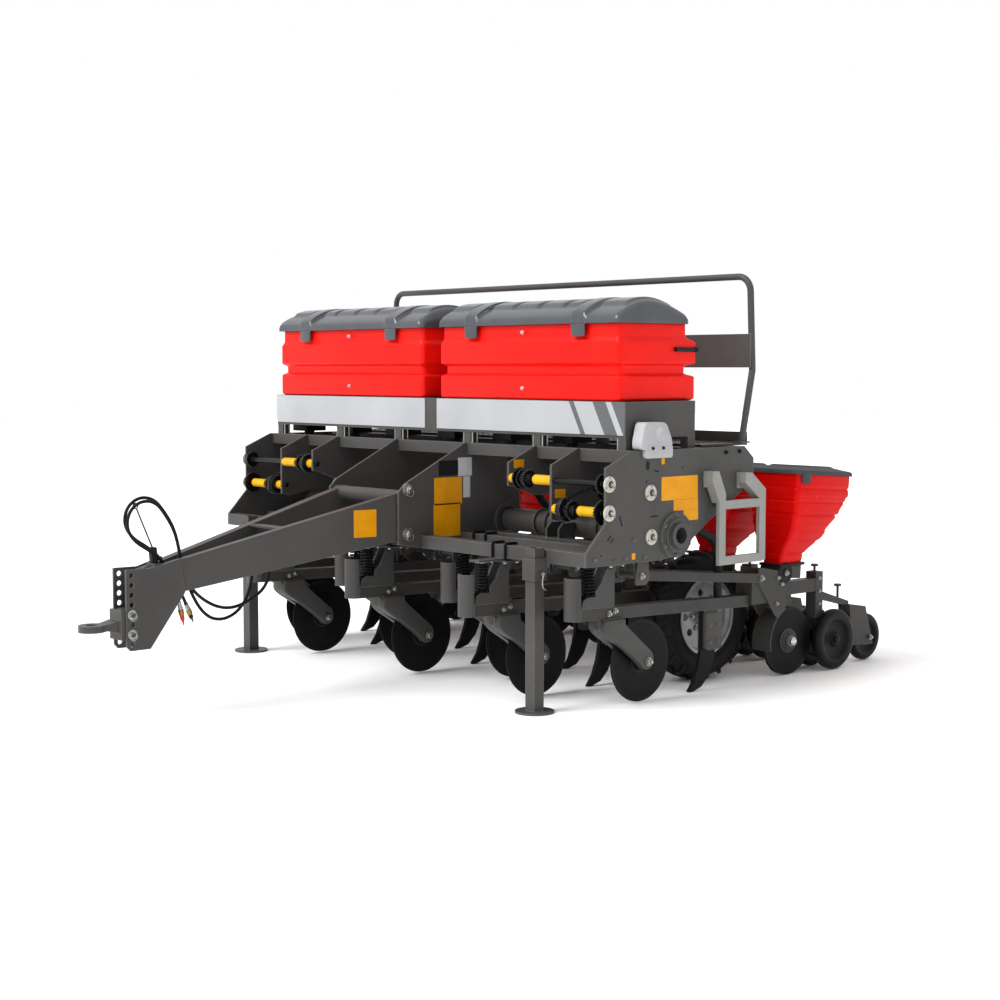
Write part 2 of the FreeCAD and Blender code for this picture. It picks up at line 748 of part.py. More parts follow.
def hinge_ears():
    """Pairs of ears with a pin on the bins' rear lip."""
    outline = [(hopper_rear - 1, hopper_top - 50), (hinge_y + 8, hopper_top - 20), (hinge_y + 8, hinge_z + 5),
               (hopper_rear + 4, hinge_z + 5), (hopper_rear + 4, hopper_top - 2),
               (hopper_rear - 1, hopper_top - 2)]
    pieces = []
    for x in hinge_places():
        pieces += [sheet_yz(outline, x + s, 8) for s in (15, -23)]
        pieces.append(rod_x(hinge_y, hinge_z, hinge_pin_radius, x - 23, x + 23))
    return pieces


def hopper_lid(side):
    low = hopper_top + seat_gap
    x0, x1 = hopper_inner_x - lid_overhang / 2, hopper_outer_x + lid_overhang
    outer = fused([lid_body(x0, x1, 0, low)] + lid_bands(low))
    inner = lid_body(x0 + lid_wall, x1 - lid_wall, -lid_wall, low)
    seat = Part.Face(cut_corners(x0, x1, hopper_front - lid_overhang, hopper_rear, lid_corner, low))
    seat = seat.extrude(Vec(0, 0, 5)).cut(block(hopper_inner_x + 36, hopper_outer_x - 36, hopper_front + 36,
                                                hopper_rear - 24, low, low + 5))
    tails = [block(c - strap_width / 2, c + strap_width / 2, hopper_front - lid_overhang,
                   hopper_front - lid_overhang + 10, low - strap_drop, low + 10) for c in strap_centres]
    knuckles = []
    for x in hinge_places():
        barrel = fused([rod_x(hinge_y, hinge_z, 8, x - 13, x + 13),
                        block(x - 13, x + 13, hopper_rear - lid_wall, hinge_y, hinge_z - 6, hinge_z + 6)])
        knuckles.append(barrel.cut(rod_x(hinge_y, hinge_z, hinge_pin_radius + running_fit, x - 14, x + 14)))
    lid = fused([outer.cut(inner), seat] + tails + knuckles)
    return [lid if side > 0 else mirrored(lid)]


def hopper_cradle():
    """Deep tray frame under the hoppers, on posts that stand on the upper bars."""
    x = cradle_half_width
    rear = hopper_rear + 6
    outer = block(-x, x, hopper_front, rear, cradle_low, hopper_floor)
    front_wall, rear_wall = hopper_front + cradle_wall, rear - cradle_wall
    inner = block(-x + cradle_wall, x - cradle_wall, front_wall, rear_wall, cradle_low, hopper_floor)
    ties = [block(c - 20, c + 20, front_wall, rear_wall, hopper_floor - 50, hopper_floor)
            for c in (row_spacing / 2, 3 * row_spacing / 2, 5 * row_spacing / 2)]
    front_y, rear_y = upper_bar_y + 5, rear - post_size
    rails = [block(-x, x, y, y + post_size, cradle_low, cradle_low + 40) for y in (front_y, rear_y)]
    places = (inner_plate_x, centre_plate_x, cradle_half_width - post_size / 2)
    posts = [block(c - post_size / 2, c + post_size / 2, y, y + post_size, deck_z, cradle_low)
             for c in places for y in (front_y, rear_y)]
    return [fused([outer.cut(inner)] + rails + both_sides(posts + ties))]


def cradle_panels():
    low = hopper_floor - panel_height
    panel = block(hopper_inner_x - 24, cradle_half_width, hopper_front - panel_thickness, hopper_front, low,
                  hopper_floor - 2)
    return both_sides([panel])


def square_section(x, y, half_x, half_y, z):
    corners = [Vec(x - half_x, y - half_y, z), Vec(x + half_x, y - half_y, z), Vec(x + half_x, y + half_y, z),
               Vec(x - half_x, y + half_y, z)]
    return Part.makePolygon(corners + corners[:1])


def fertiliser_meter(x, datum):
    """Metering box under the bin with the tube that drops to the shank."""
    body = block(x - 70, x + 70, meter_y - 70, meter_y + 70, meter_low, cradle_low + 60)
    funnel = Part.makeLoft([square_section(x, meter_y, 70, 70, cradle_low + 60),
                            square_section(x, meter_y, 70, 84, hopper_floor - seat_gap)], True, True)
    spout = rod_z(x, meter_y, 30, meter_low - 40, meter_low)
    end_y = datum + shank_rear + 26
    end_z = beam_top(datum, end_y - drop_tube_radius) + seat_gap
    points = [Vec(x, meter_y, meter_low - 40), Vec(x, meter_y + 8, 1130), Vec(x, 640, 1010), Vec(x, 735, 900),
              Vec(x, max(end_y - 20, 790), 760), Vec(x, end_y, 620), Vec(x, end_y, end_z)]
    return fused([body, spout, funnel, bent_tube(points, drop_tube_radius, 90)[0]])


# ---------------------------------------------------------------- walkway, rail, ladder

def walkway():
    x, top = rail_x, deck_z + deck_thickness
    deck = block(-x, x, deck_front, deck_rear, deck_z, top)
    slots = []
    for i in range(24):
        c = -x + 60 + i * (2 * x - 120) / 23
        slots.append(block(c - 42, c + 42, deck_front + 40, deck_rear - 40, deck_z - 1, top + 1))
    kick = block(-x, x, deck_rear - 5, deck_rear, top, top + kick_height)
    return [fused([deck.cut(slots[::2]), kick])]


def handrail():
    deck_top = deck_z + deck_thickness
    knee_y, knee_z = rail_kink
    ends = []
    for side in (-1, 1):
        x = side * rail_x
        ends.append([Vec(x, rail_foot[0], deck_top - 6), Vec(x, knee_y, knee_z),
                     Vec(x, rail_head_y, rail_top - rail_radius)])
    tube = bent_tube(ends[0] + ends[1][::-1], rail_radius, rail_corner)[0]
    feet = [block(x - 30, x + 30, rail_foot[0] - 34, rail_foot[0] + 34, deck_top, deck_top + 8)
            for x in (-rail_x, rail_x)]
    below = block(-rail_x - 60, rail_x + 60, deck_front, deck_rear, deck_z - 40, deck_top)
    tube = fused([tube] + feet).cut(below)
    share = ((board_low + board_high) / 2 - knee_z) / (rail_top - knee_z)
    y = knee_y + (rail_head_y - knee_y) * share - rail_radius
    board = block(-rail_x - 10, rail_x + 10, y - 6, y, board_low, board_high)
    return [fused([tube, board])]


def ladder():
    """Two bent stiles bolted to the side plate, with two treads."""
    x0 = frame_half_width
    x1 = x0 + ladder_reach
    def stile(points):
        (y0, z0), (y1, z1), (y2, z2) = points
        w = ladder_tube / 2
        foot = [(y0 - w, z0 + 30), (y0 + w, z0 + 30), (y0 + w, z0 - 50), (y0 - w, z0 - 50)]
        plate = sheet_yz(foot, x0, 10)
        sloped = sheet_yz([(y0 - w, z0 + 30), (y0 + w, z0 + 30), (y1 + w, z1 + 16), (y1 + w, z1 - 30),
                           (y1 - w, z1 - 30), (y0 - w, z0 - 20)], x0 + 10, x1 - x0 - 10)
        upright = block(x1 - ladder_wall, x1, y1 - w, y1 + w, z2, z1)
        return [plate, sloped.cut(block(x0 + 10, x1 - ladder_wall, y1 - w, 2000, 0, z1 - 30)), upright]
    treads = [block(x1 - ladder_wall, x1, ladder_front[1][0], ladder_rear[1][0], z, z + rung_height)
              for z in (ladder_front[2][1], ladder_front[1][1] - 62)]
    return [fused(stile(ladder_front) + stile(ladder_rear) + treads)]


def cover_box():
    """Moulded cover of the transmission over the right-hand side plate, with a domed boss."""
    inner, outer = cradle_half_width + 3, frame_half_width + 22
    crown = sheet_yz([(348, 1243), (344, 1280), (366, 1362), (378, 1374), (508, 1372), (526, 1362), (562, 1286),
                      (565, 1243)], inner, outer - inner)
    skirt = sheet_yz([(372, 1243), (565, 1243), (565, 1210), (556, 1202), (382, 1202), (372, 1212)],
                     frame_half_width + seat_gap, outer - frame_half_width - seat_gap)
    ball = Part.makeSphere(46, Vec(outer - 22, 462, 1300))
    dome = ball.common(block(outer - 4, outer + 60, 300, 600, 1200, 1400))
    return [fused([crown, skirt, dome])]


# ---------------------------------------------------------------- transmission

def transmission_lines():
    """Each shaft's place and span on the right-hand side."""
    out = frame_half_width + 14
    return [(upper_shaft, inner_plate_x - 24, out), (lower_shaft, transmission_plate_x - 24, out),
            (middle_shaft, inner_plate_x - 24, out)]


def cut_for_shafts(plates):
    bores = []
    for (y, z), x0, x1 in transmission_lines():
        bores.append(rod_x(y, z, shaft_radius + seat_gap, x0 - 30, x1 + 30))
    return [p.cut(bores + [mirrored(b) for b in bores]) for p in plates]


def sprocket(y, z, radius, x):
    """Toothed wheel: a round blank with a pointed tooth for each link."""
    count = int(2 * pi * radius / sprocket_tooth)
    outline = []
    for i in range(2 * count):
        reach = radius + (4 if i % 2 == 0 else -3)
        angle = pi * i / count
        outline.append((y + reach * cos(angle), z + reach * sin(angle)))
    return sheet_yz(outline, x, 7)


def chain(first, second, radius, x):
    """Roller chain round two equal wheels, as one closed band."""
    (y0, z0), (y1, z1) = first, second
    angle = atan2(z1 - z0, y1 - y0)
    side = Vec(0, -sin(angle), cos(angle))
    ends = [Vec(x, y0, z0), Vec(x, y1, z1)]
    pieces = []
    for r in (radius + chain_depth, radius):
        corners = [ends[0] + side * r, ends[1] + side * r, ends[1] - side * r, ends[0] - side * r]
        face = Part.Face(Part.makePolygon(corners + corners[:1]))
        ends_round = [rod_x(y, z, r, x, x + 9) for y, z in (first, second)]
        pieces.append(fused([face.extrude(Vec(9, 0, 0))] + ends_round))
    return pieces[0].cut(pieces[1])


def shaft_with_stack(line, stack_x):
    (y, z), x0, x1 = line
    end = frame_half_width + seat_gap
    pieces = [rod_x(y, z, shaft_radius, x0, x1), rod_x(y, z, washer_radius, end, end + washer_thickness),
              rod_x(y, z, 26, stack_x - 6, stack_x + 3 * sprocket_pitch + 26)]
    stack = [sprocket(y, z, radius, stack_x + i * sprocket_pitch) for i, radius in enumerate(sprocket_radii)]
    return pieces + stack


def outer_sprocket(shaft, radius):
    y, z = shaft
    return sprocket(y, z, radius, frame_inner_x - outer_wheel_gap)


def drive_shafts():
    """Shafts with their sprocket stacks and end washers, and the chain between two of the stacks."""
    upper, lower, middle = transmission_lines()
    upper_x, lower_x = inner_plate_x + stack_inset, transmission_plate_x + stack_inset
    band = chain(lower_shaft, middle_shaft, sprocket_radii[1] + 4 + seat_gap, lower_x + sprocket_pitch - 1)
    shafts = [fused(shaft_with_stack(upper, upper_x) + [outer_sprocket(upper_shaft, sprocket_radii[1])]),
              fused(shaft_with_stack(lower, lower_x) + [outer_sprocket(lower_shaft, outer_wheel)]),
              fused(shaft_with_stack(middle, lower_x))]
    return both_sides(shafts + [band])


def shaft_bushes():
    """Yellow plastic bushes on the two front shafts: a short one behind each inner plate, a long one ahead."""
    edge = plate_thickness / 2 + seat_gap
    upper_end = transmission_plate_x - edge - far_bush
    lower_end = frame_inner_x - outer_wheel_gap - 21 - far_bush
    spans = [(upper_shaft, inner_plate_x + edge, near_bush), (upper_shaft, upper_end, far_bush),
             (lower_shaft, transmission_plate_x + edge, near_bush), (lower_shaft, lower_end, far_bush)]
    bushes = []
    for (y, z), x, length in spans:
        bush = rod_x(y, z, bush_radius, x, x + length)
        bushes.append(bush.cut(rod_x(y, z, shaft_radius + seat_gap, x, x + length)))
    return both_sides(bushes)


# ---------------------------------------------------------------- row units

def beam_bottom(datum, y):
    front = datum + cover_back
    return row_beam_front_z + (row_beam_rear_z - row_beam_front_z) * (y - front) / (row_beam_rear_y - front)


def beam_top(datum, y):
    return beam_bottom(datum, y) + row_beam_height


def spring_seat(datum):
    return beam_top(datum, datum + spring_y) + 60


def row_beam(x, datum):
    """Long trailing beam with the coulter fork and the shank clamp under it."""
    half = row_beam_width / 2
    front, rear = datum + cover_back, row_beam_rear_y
    outline = [(front, beam_bottom(datum, front)), (front, beam_top(datum, front)),
               (rear, beam_top(datum, rear)), (rear, beam_bottom(datum, rear))]
    beam = sheet_yz(outline, x - half, row_beam_width)
    end_plate = block(x - cover_radius, x + cover_radius, front, front + 8, cover_low, cover_low + 60)
    fork_top = beam_bottom(datum, datum + 20)
    y, z = datum + disc_y, disc_radius + floor_gap
    leg = [(datum - 46, fork_top + 6), (datum + 84, fork_top + 6), (datum + 78, fork_top - 30),
           (y + 30, z + 34), (y + 34, z), (y + 16, z - 32), (y - 18, z - 32), (y - 40, z - 6),
           (datum - 50, fork_top - 50)]
    inner = disc_hub_half + moving_gap
    legs = [sheet_yz(leg, x + s, fork_plate) for s in (inner, -inner - fork_plate)]
    across = inner + fork_plate
    bridge = block(x - across, x + across, datum - 46, datum + 60, fork_top - 14, fork_top + 6)
    bridge = bridge.cut(rod_x(y, z, disc_radius + moving_gap, x - 60, x + 60))
    pin = rod_x(y, z, axle_pin_radius, x - inner - fork_plate - 8, x + inner + fork_plate + 8)
    clamp_top = beam_bottom(datum, datum + shank_front)
    clamp = [block(x + s, x + s + 12, datum + shank_front + 6, datum + shank_rear, 214, clamp_top + 20)
             for s in (shank_thickness / 2, -shank_thickness / 2 - 12)]
    return fused([beam, end_plate, bridge, pin] + legs + clamp)


def knife_shank(x, datum):
    """Curved knife: a straight shank that sweeps forward to a pointed tip."""
    top = beam_bottom(datum, datum + shank_front) - seat_gap
    sweep = [(0, 262), (0, top - 6), (105, top - 6), (105, 220), (95, 150), (55, 70), (0, 20), (-58, floor_gap),
             (-92, floor_gap), (-50, 60), (-22, 130), (-6, 200)]
    outline = [(datum + shank_front + y, z) for y, z in sweep]
    return sheet_yz(outline, x - shank_thickness / 2, shank_thickness)


def coulter_disc(x, datum):
    y, z = datum + disc_y, disc_radius + floor_gap
    disc = rod_x(y, z, disc_radius, x - disc_thickness / 2, x + disc_thickness / 2)
    hub = rod_x(y, z, disc_hub_radius, x - disc_hub_half, x + disc_hub_half)
    bore = rod_x(y, z, axle_pin_radius + running_fit, x - disc_hub_half, x + disc_hub_half)
    return fused([disc, hub]).cut(bore)


def spring_cover(x, datum):
    """Half-round guard round the front of the spring."""
    back = datum + cover_back - seat_gap
    outer = rod_z(x, back, cover_radius, cover_low, cover_high)
    inner = rod_z(x, back, cover_radius - cover_wall, cover_low, cover_high)
    return outer.cut(inner).common(block(x - 60, x + 60, back - 60, back, cover_low, cover_high))


def pressure_spring(x, datum):
    """Coil spring on its rod, turned as one form with a ridge for each coil."""
    y = datum + spring_y
    low = spring_seat(datum)
    high = lower_bar_z - hanger_plate - seat_gap
    half = (high - low) / spring_coils / 2
    inner, root = spring_rod_radius - 1, spring_radius - 2 * spring_wire
    profile = [(inner, low), (root, low)]
    for i in range(spring_coils):
        crest = low + (2 * i + 1) * half
        profile += [(spring_radius, crest - half / 2), (spring_radius, crest + half / 2), (root, crest + half)]
    profile.append((inner, high))
    corners = [Vec(x + r, y, z) for r, z in profile]
    coils = Part.Face(Part.makePolygon(corners + corners[:1])).revolve(Vec(x, y, low), Vec(0, 0, 1), 360)
    return fused([coils, rod_z(x, y, spring_rod_radius, beam_top(datum, y) + 1, high)])


# ---------------------------------------------------------------- seed units

def seed_links(x):
    """Pair of upper links from the frame's bracket to the seed unit."""
    (y0, z0), (y1, z1) = link_front, link_rear
    half = link_height / 2
    bars = []
    for s in (link_x, -link_x - link_plate):
        outline = [(y0, z0 - half), (y0, z0 + half), (y1, z1 + half), (y1, z1 - half)]
        bars.append(sheet_yz(outline, x + s, link_plate))
        bars += [rod_x(y, z, half, x + s, x + s + link_plate) for y, z in (link_front, link_rear)]
    hole = rod_x(y0, z0, link_pin_radius + seat_gap, x - link_x - link_plate, x + link_x + link_plate)
    return [bar.cut(hole) for bar in bars]


def guard_strap(x):
    """Curved strap from the cheeks down the front of the opener discs."""
    inner, outer = opener_radius + 12, opener_radius + 18
    angles = [radians(112 + 6 * i) for i in range(14)]
    centre = opener_radius + floor_gap
    outline = [(opener_y + outer * cos(a), centre + outer * sin(a)) for a in angles]
    outline += [(opener_y + inner * cos(a), centre + inner * sin(a)) for a in reversed(angles)]
    return sheet_yz(outline, x - link_x, 2 * link_x)


def seed_frame(x, datum):
    """Head stock, cheeks, central opener shank, rear post and closing fork of one seed unit."""
    cheek = [(1340, 602), (1562, 560), (1562, 376), (1500, 322), (1472, 344), (1340, 520)]
    cheeks = [sheet_yz(cheek, x + s, cheek_plate) for s in (link_x - cheek_plate, -link_x)]
    head = block(x - 54, x + 54, row_beam_rear_y, 1560, 410, 545)
    neck = block(x - 60, x + 60, 1512, 1692, 530, seed_neck_z)
    neck.rotate(Vec(x, 1520, seed_neck_z), Vec(1, 0, 0), seed_tilt)
    chassis = block(x - 30, x + 30, 1560, unit_rear_y, 430, 500)
    shank = block(x - 6, x + 6, opener_y - 50, opener_y + 40, opener_radius - 20, 440)
    post = block(x - 34, x + 34, 1856, unit_rear_y, 285, 535)
    gauge_arm = sheet_yz([(1862, 300), (1915, 330), (gauge_y + 30, gauge_radius + 12),
                          (gauge_y, gauge_radius - 28), (gauge_y - 30, gauge_radius)], x - 15, 30)
    gauge_bore = rod_x(gauge_y, gauge_radius + floor_gap, gauge_axle_radius + running_fit, x - 20, x + 20)
    gauge_arm = gauge_arm.cut(gauge_bore)
    fork_arm = sheet_yz([(1900, 385), (1900, 430), (2160, 350), (2160, 322)], x - 24, 48)
    fork = [(2150, 334), (2296, 310), (2367, 92), (2310, 92), (2172, 104)]
    outer = fork_half
    forks = [sheet_yz(fork, x + s, 6) for s in (outer - 6, -outer)]
    saddle = sheet_yz([(2150, 334), (2296, 310), (2294, 303), (2149, 327)], x - outer, 2 * outer)
    pin = rod_x(press_y, press_radius + floor_gap, 12, x - outer - 8, x + outer + 8)
    knobs = [rod_z(x, 2092, 7, 340, 440), rod_z(x, 2092, 20, 436, 448),
             rod_z(x, 1885, 7, 530, 568), rod_z(x, 1885, 20, 562, 574)]
    stock = [head, neck, chassis, shank, post, gauge_arm, fork_arm, saddle, pin, guard_strap(x)]
    return fused(stock + cheeks + forks + knobs + seed_links(x) + opener_pins(x))


def toed_in(shape, x, side):
    """Moves a piece drawn on the axle X = 0 to its row, toed in by half of the discs' angle."""
    shape.rotate(Vec(0, opener_y, opener_radius + floor_gap), Vec(0, 0, 1), -opener_tilt)
    shape.translate(Vec(opener_radius * sin(radians(opener_tilt)) + 1.5, 0, 0))
    if side < 0:
        shape = mirrored(shape)
    shape.translate(Vec(x, 0, 0))
    return shape


def opener_discs():
    """Two discs a row, toed in so that their edges nearly meet at the front."""
    discs = []
    z = opener_radius + floor_gap
    for x in row_positions:
        for side in (1, -1):
            disc = rod_x(opener_y, z, opener_radius, 0, opener_thickness)
            hub = rod_x(opener_y, z, 44, opener_thickness, opener_hub_end)
            cap = rod_x(opener_y, z, 22, opener_hub_end, opener_hub_end + 18)
            bore = rod_x(opener_y, z, opener_pin_radius + seat_gap, -1, opener_hub_end - 4)
            discs.append(toed_in(fused([disc, hub, cap]).cut(bore), x, side))
    return discs


def opener_pins(x):
    z = opener_radius + floor_gap
    tip = opener_hub_end - 4 - seat_gap
    return [toed_in(rod_x(opener_y, z, opener_pin_radius, -12, tip), x, side) for side in (1, -1)]


def gauge_wheel(x, side):
    """One depth wheel with its hub, bored to sit on the axle."""
    c, z, half = x + side * gauge_x, gauge_radius + floor_gap, gauge_width / 2
    rim = [(c - half, 104), (c - half, 150), (c - half + 14, gauge_radius), (c + half - 14, gauge_radius),
           (c + half, 150), (c + half, 104), (c + 8, 96), (c + 8, 34), (c - 8, 34), (c - 8, 96)]
    ends = (x + side * 21, c + side * 22)
    hub = rod_x(gauge_y, z, 36, min(ends), max(ends))
    bore = rod_x(gauge_y, z, gauge_axle_radius + seat_gap, min(ends), max(ends))
    return fused([turned_about_x(rim, gauge_y, z), hub]).cut(bore)


def gauge_axle(x):
    """Axle with a collar outside each wheel's hub."""
    z = gauge_radius + floor_gap
    seat = gauge_x + 22 + seat_gap
    pieces = [rod_x(gauge_y, z, gauge_axle_radius, x - seat - 12, x + seat + 12)]
    for side in (1, -1):
        ends = (x + side * seat, x + side * (seat + 10))
        pieces.append(rod_x(gauge_y, z, gauge_axle_radius + 8, min(ends), max(ends)))
    return fused(pieces)


def gauge_wheels():
    """Twin depth wheels on one axle, a set for each row."""
    return {"gauge_wheels_%d" % (i + 1): [gauge_wheel(x, 1), gauge_wheel(x, -1), gauge_axle(x)]
            for i, x in enumerate(row_positions)}


def press_wheel(x, datum):
    z = press_radius + floor_gap
    half = press_width / 2
    rim = [(x - half, 84), (x - half, 116), (x - half + 12, press_radius), (x + half - 12, press_radius),
           (x + half, 116), (x + half, 84), (x + 7, 78), (x + 7, 28), (x - 7, 28), (x - 7, 78)]
    hub = rod_x(press_y, z, 30, x - 27, x + 27)
    bore = rod_x(press_y, z, 12 + running_fit, x - 40, x + 40)
    return fused([turned_about_x(rim, press_y, z), hub]).cut(bore)


def seed_hopper(x, datum):
    """Funnel-shaped bin: upright in front, drawn in towards the neck behind and at the sides."""
    sections = ((60, 1520, 1690, seed_neck_z + seat_gap), (66, 1516, 1700, 640), (132, 1506, 1802, 790),
                (140, 1504, 1810, 800), (148, 1503, 1868, 870), (156, 1502, 1880, 880), (160, 1500, 1930, 960),
                (165, 1498, 1945, 975), (165, 1496, 1950, seed_top_z))
    wires = []
    for half, y0, y1, z in sections:
        corners = [Vec(x - half, y0, z), Vec(x + half, y0, z), Vec(x + half, y1, z), Vec(x - half, y1, z)]
        wires.append(Part.makePolygon(corners + corners[:1]))
    bin_solid = Part.makeLoft(wires, True, True)
    bin_solid.rotate(Vec(x, 1520, seed_neck_z), Vec(1, 0, 0), seed_tilt)
    return bin_solid


def seed_lid(x, datum):
    z = seed_top_z + seat_gap
    rim = block(x - 174, x + 174, 1486, 1960, z, z + 22)
    levels = []
    for w, y0, y1, h in ((174, 1486, 1960, z + 22), (90, 1570, 1880, z + 48)):
        corners = [Vec(x - w, y0, h), Vec(x + w, y0, h), Vec(x + w, y1, h), Vec(x - w, y1, h)]
        levels.append(Part.makePolygon(corners + corners[:1]))
    crown = Part.makeLoft(levels, True, True)
    tab = [block(x + s - 5, x + s + 5, 1690, 1760, z - 46, z + 10) for s in (171, -171)]
    lid = fused([rim, crown] + tab)
    lid.rotate(Vec(x, 1520, seed_neck_z), Vec(1, 0, 0), seed_tilt)
    return lid


# ---------------------------------------------------------------- hoses

hose_radius = 8
coupler_radius = 14
coupler_length = 116
gland_ends = ((16, -745), (-16, -822))
gland_low = 640

# Each hose: down from its gland, a sag under the drawbar, up between the beams, over the stay and down again
pressure_hose_route = [(16, -745, 639.7), (16, -746, 596), (16, -770, 548), (17, -820, 510),
                       (18, -888, 480), (18, -966, 462), (17, -1044, 474), (15, -1116, 512),
                       (14, -1178, 564), (14, -1220, 632), (14, -1244, 706), (14, -1256, 784),
                       (14, -1278, 862), (14, -1322, 936), (14, -1376, 1003), (14, -1456, 1012),
                       (14, -1520, 963), (14, -1532, 883), (14, -1485, 818), (14, -1415, 778),
                       (14, -1352, 729), (14, -1303, 666), (16, -1276, 592), (20, -1262, 520)]
return_hose_route = [(-16, -822, 639.7), (-16, -823, 594), (-16, -838, 538), (-17, -866, 480),
                     (-18, -914, 432), (-18, -980, 406), (-17, -1050, 412), (-16, -1106, 450),
                     (-15, -1148, 508), (-14, -1182, 574), (-14, -1208, 644), (-14, -1228, 718),
                     (-14, -1242, 796), (-14, -1266, 876), (-14, -1312, 950), (-14, -1370, 1017),
                     (-14, -1450, 1028), (-14, -1516, 981), (-14, -1530, 901), (-14, -1484, 835),
                     (-14, -1414, 794), (-14, -1350, 744), (-14, -1300, 680), (-20, -1258, 616),
                     (-34, -1216, 556), (-52, -1180, 496)]


def hose(route):
    points = [Vec(*p) for p in route]
    tube, radii, length = bent_tube(points, hose_radius)
    section = pi * hose_radius ** 2
    share = tube.Volume / section / length
    print("hose: length %.0f, smallest radius %.0f, volume share %.4f" % (length, min(radii), share))
    return [tube]


def coupler(route):
    """Quick coupler with its dust cap, in line with the hose's last run."""
    last, before = Vec(*route[-1]), Vec(*route[-2])
    along = (last - before).normalize()
    body = rod(last, last + along * coupler_length * 0.55, coupler_radius)
    cap = rod(last + along * coupler_length * 0.55, last + along * coupler_length, coupler_radius - 3)
    return [fused([body, cap])]


# ---------------------------------------------------------------- write

def row_bodies(name, make):
    return {"%s_%d" % (name, i + 1): [make(x, d)] for i, (x, d) in enumerate(zip(row_positions, row_datums))}


nodes = {
    "frame_plates": cut_for_shafts(frame_plates()),
    "tool_bars": tool_bars(),
    "drawbar_beams": drawbar(),
    "hitch_plates": hitch_plates(),
    "hitch_eye": hitch_eye(),
    "jack_sleeves": jack_sleeves(),
    "hopper_cradle": hopper_cradle(),
    "cradle_panels": cradle_panels(),
    "fertiliser_hoppers": fertiliser_hoppers(),
    "fertiliser_meters": at_rows(fertiliser_meter),
    "walkway": walkway(),
    "handrail": handrail(),
    "ladder": ladder(),
    "drive_cover": cover_box(),
    "drive_shafts": drive_shafts(),
    "shaft_bushes": shaft_bushes(),
    "row_beams": at_rows(row_beam),
    "knife_shanks": at_rows(knife_shank),
    "spring_covers": at_rows(spring_cover),
    "pressure_springs": at_rows(pressure_spring),
    "seed_frames": at_rows(seed_frame),
    "opener_discs": opener_discs(),
    "seed_hoppers": at_rows(seed_hopper),
    "seed_lids": at_rows(seed_lid),
    "lift_frame": [lift_frame()],
    "lift_cylinder": [lift_cylinder()],
    "lift_rod": [lift_rod()],
    "tyre_right": [tyre(wheel_x)],
    "tyre_left": [tyre(-wheel_x)],
    "rim_right": [wheel_rim(wheel_x)],
    "rim_left": [wheel_rim(-wheel_x)],
    "jack_leg_right": jack_leg(1),
    "jack_leg_left": jack_leg(-1),
    "hopper_lid_right": hopper_lid(1),
    "hopper_lid_left": hopper_lid(-1),
    "pressure_hose": hose(pressure_hose_route),
    "return_hose": hose(return_hose_route),
    "pressure_coupler": coupler(pressure_hose_route),
    "return_coupler": coupler(return_hose_route),
}
nodes.update(row_bodies("coulter_disc", coulter_disc))
nodes.update(gauge_wheels())
nodes.update(row_bodies("press_wheel", press_wheel))

cord_nodes = ("pressure_hose", "return_hose", "pressure_coupler", "return_coupler")
whole = FreeCAD.BoundBox()
for name, solids in nodes.items():
    if name not in cord_nodes:
        for solid in solids:
            whole.add(solid.optimalBoundingBox(False, False))
shift = Vec(-(whole.XMin + whole.XMax) / 2, -(whole.YMin + whole.YMax) / 2, 0)

os.makedirs("parts", exist_ok=True)
for name, solids in nodes.items():
    shape = solids[0] if len(solids) == 1 else Part.makeCompound(solids)
    shape.translate(shift)
    shape.exportStep("parts/%s.step" % name)
print("nodes", len(nodes))
print("box", [round(v, 2) for v in (whole.XMin, whole.XMax, whole.YMin, whole.YMax, whole.ZMin, whole.ZMax)])
print("shift", round(shift.x, 3), round(shift.y, 3))
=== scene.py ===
# Towed precision seeder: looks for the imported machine, in metres.
import math
import bpy
import bmesh
from mathutils import Matrix, Vector, noise


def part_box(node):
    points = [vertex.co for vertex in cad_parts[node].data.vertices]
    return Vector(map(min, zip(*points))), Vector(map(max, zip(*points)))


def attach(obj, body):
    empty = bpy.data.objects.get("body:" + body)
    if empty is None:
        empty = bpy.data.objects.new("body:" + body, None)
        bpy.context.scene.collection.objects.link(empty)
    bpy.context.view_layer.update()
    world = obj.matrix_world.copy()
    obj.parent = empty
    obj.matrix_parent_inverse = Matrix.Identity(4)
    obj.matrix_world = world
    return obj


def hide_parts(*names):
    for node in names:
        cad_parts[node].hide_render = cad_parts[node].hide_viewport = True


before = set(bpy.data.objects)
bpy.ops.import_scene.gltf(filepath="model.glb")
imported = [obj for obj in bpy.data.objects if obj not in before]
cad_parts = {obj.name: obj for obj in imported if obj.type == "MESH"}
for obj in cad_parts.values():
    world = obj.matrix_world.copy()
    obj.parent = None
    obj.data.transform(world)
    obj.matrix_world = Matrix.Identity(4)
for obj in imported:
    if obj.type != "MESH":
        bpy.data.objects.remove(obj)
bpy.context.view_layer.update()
print("frame loaded:", len(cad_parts), "nodes")

platesLow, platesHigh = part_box("frame_plates")
centreX = (platesLow[0] + platesHigh[0]) / 2        # the machine's centre plane
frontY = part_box("jack_sleeves")[1][1]               # front face of the lower front bar
rowSpacing = 450
rowXs = [(i - 3) * rowSpacing for i in range(7)]
rows = [(x, 270 if i % 2 == 0 else 0) for i, x in enumerate(rowXs)]     # each row's centre and how far back it sits
sides = ((1, "right"), (-1, "left"))
yWay, zWay = (0, 1, 0), (0, 0, 1)


def place(x, y, z):
    # millimetres from the centre plane, the front bar and the ground
    return Vector((centreX + x / 1000, frontY + y / 1000, z / 1000))


def linear(hexColour):
    parts = [int(hexColour[i:i + 2], 16) / 255 for i in (1, 3, 5)]
    return [v / 12.92 if v <= 0.04045 else ((v + 0.055) / 1.055) ** 2.4 for v in parts] + [1.0]


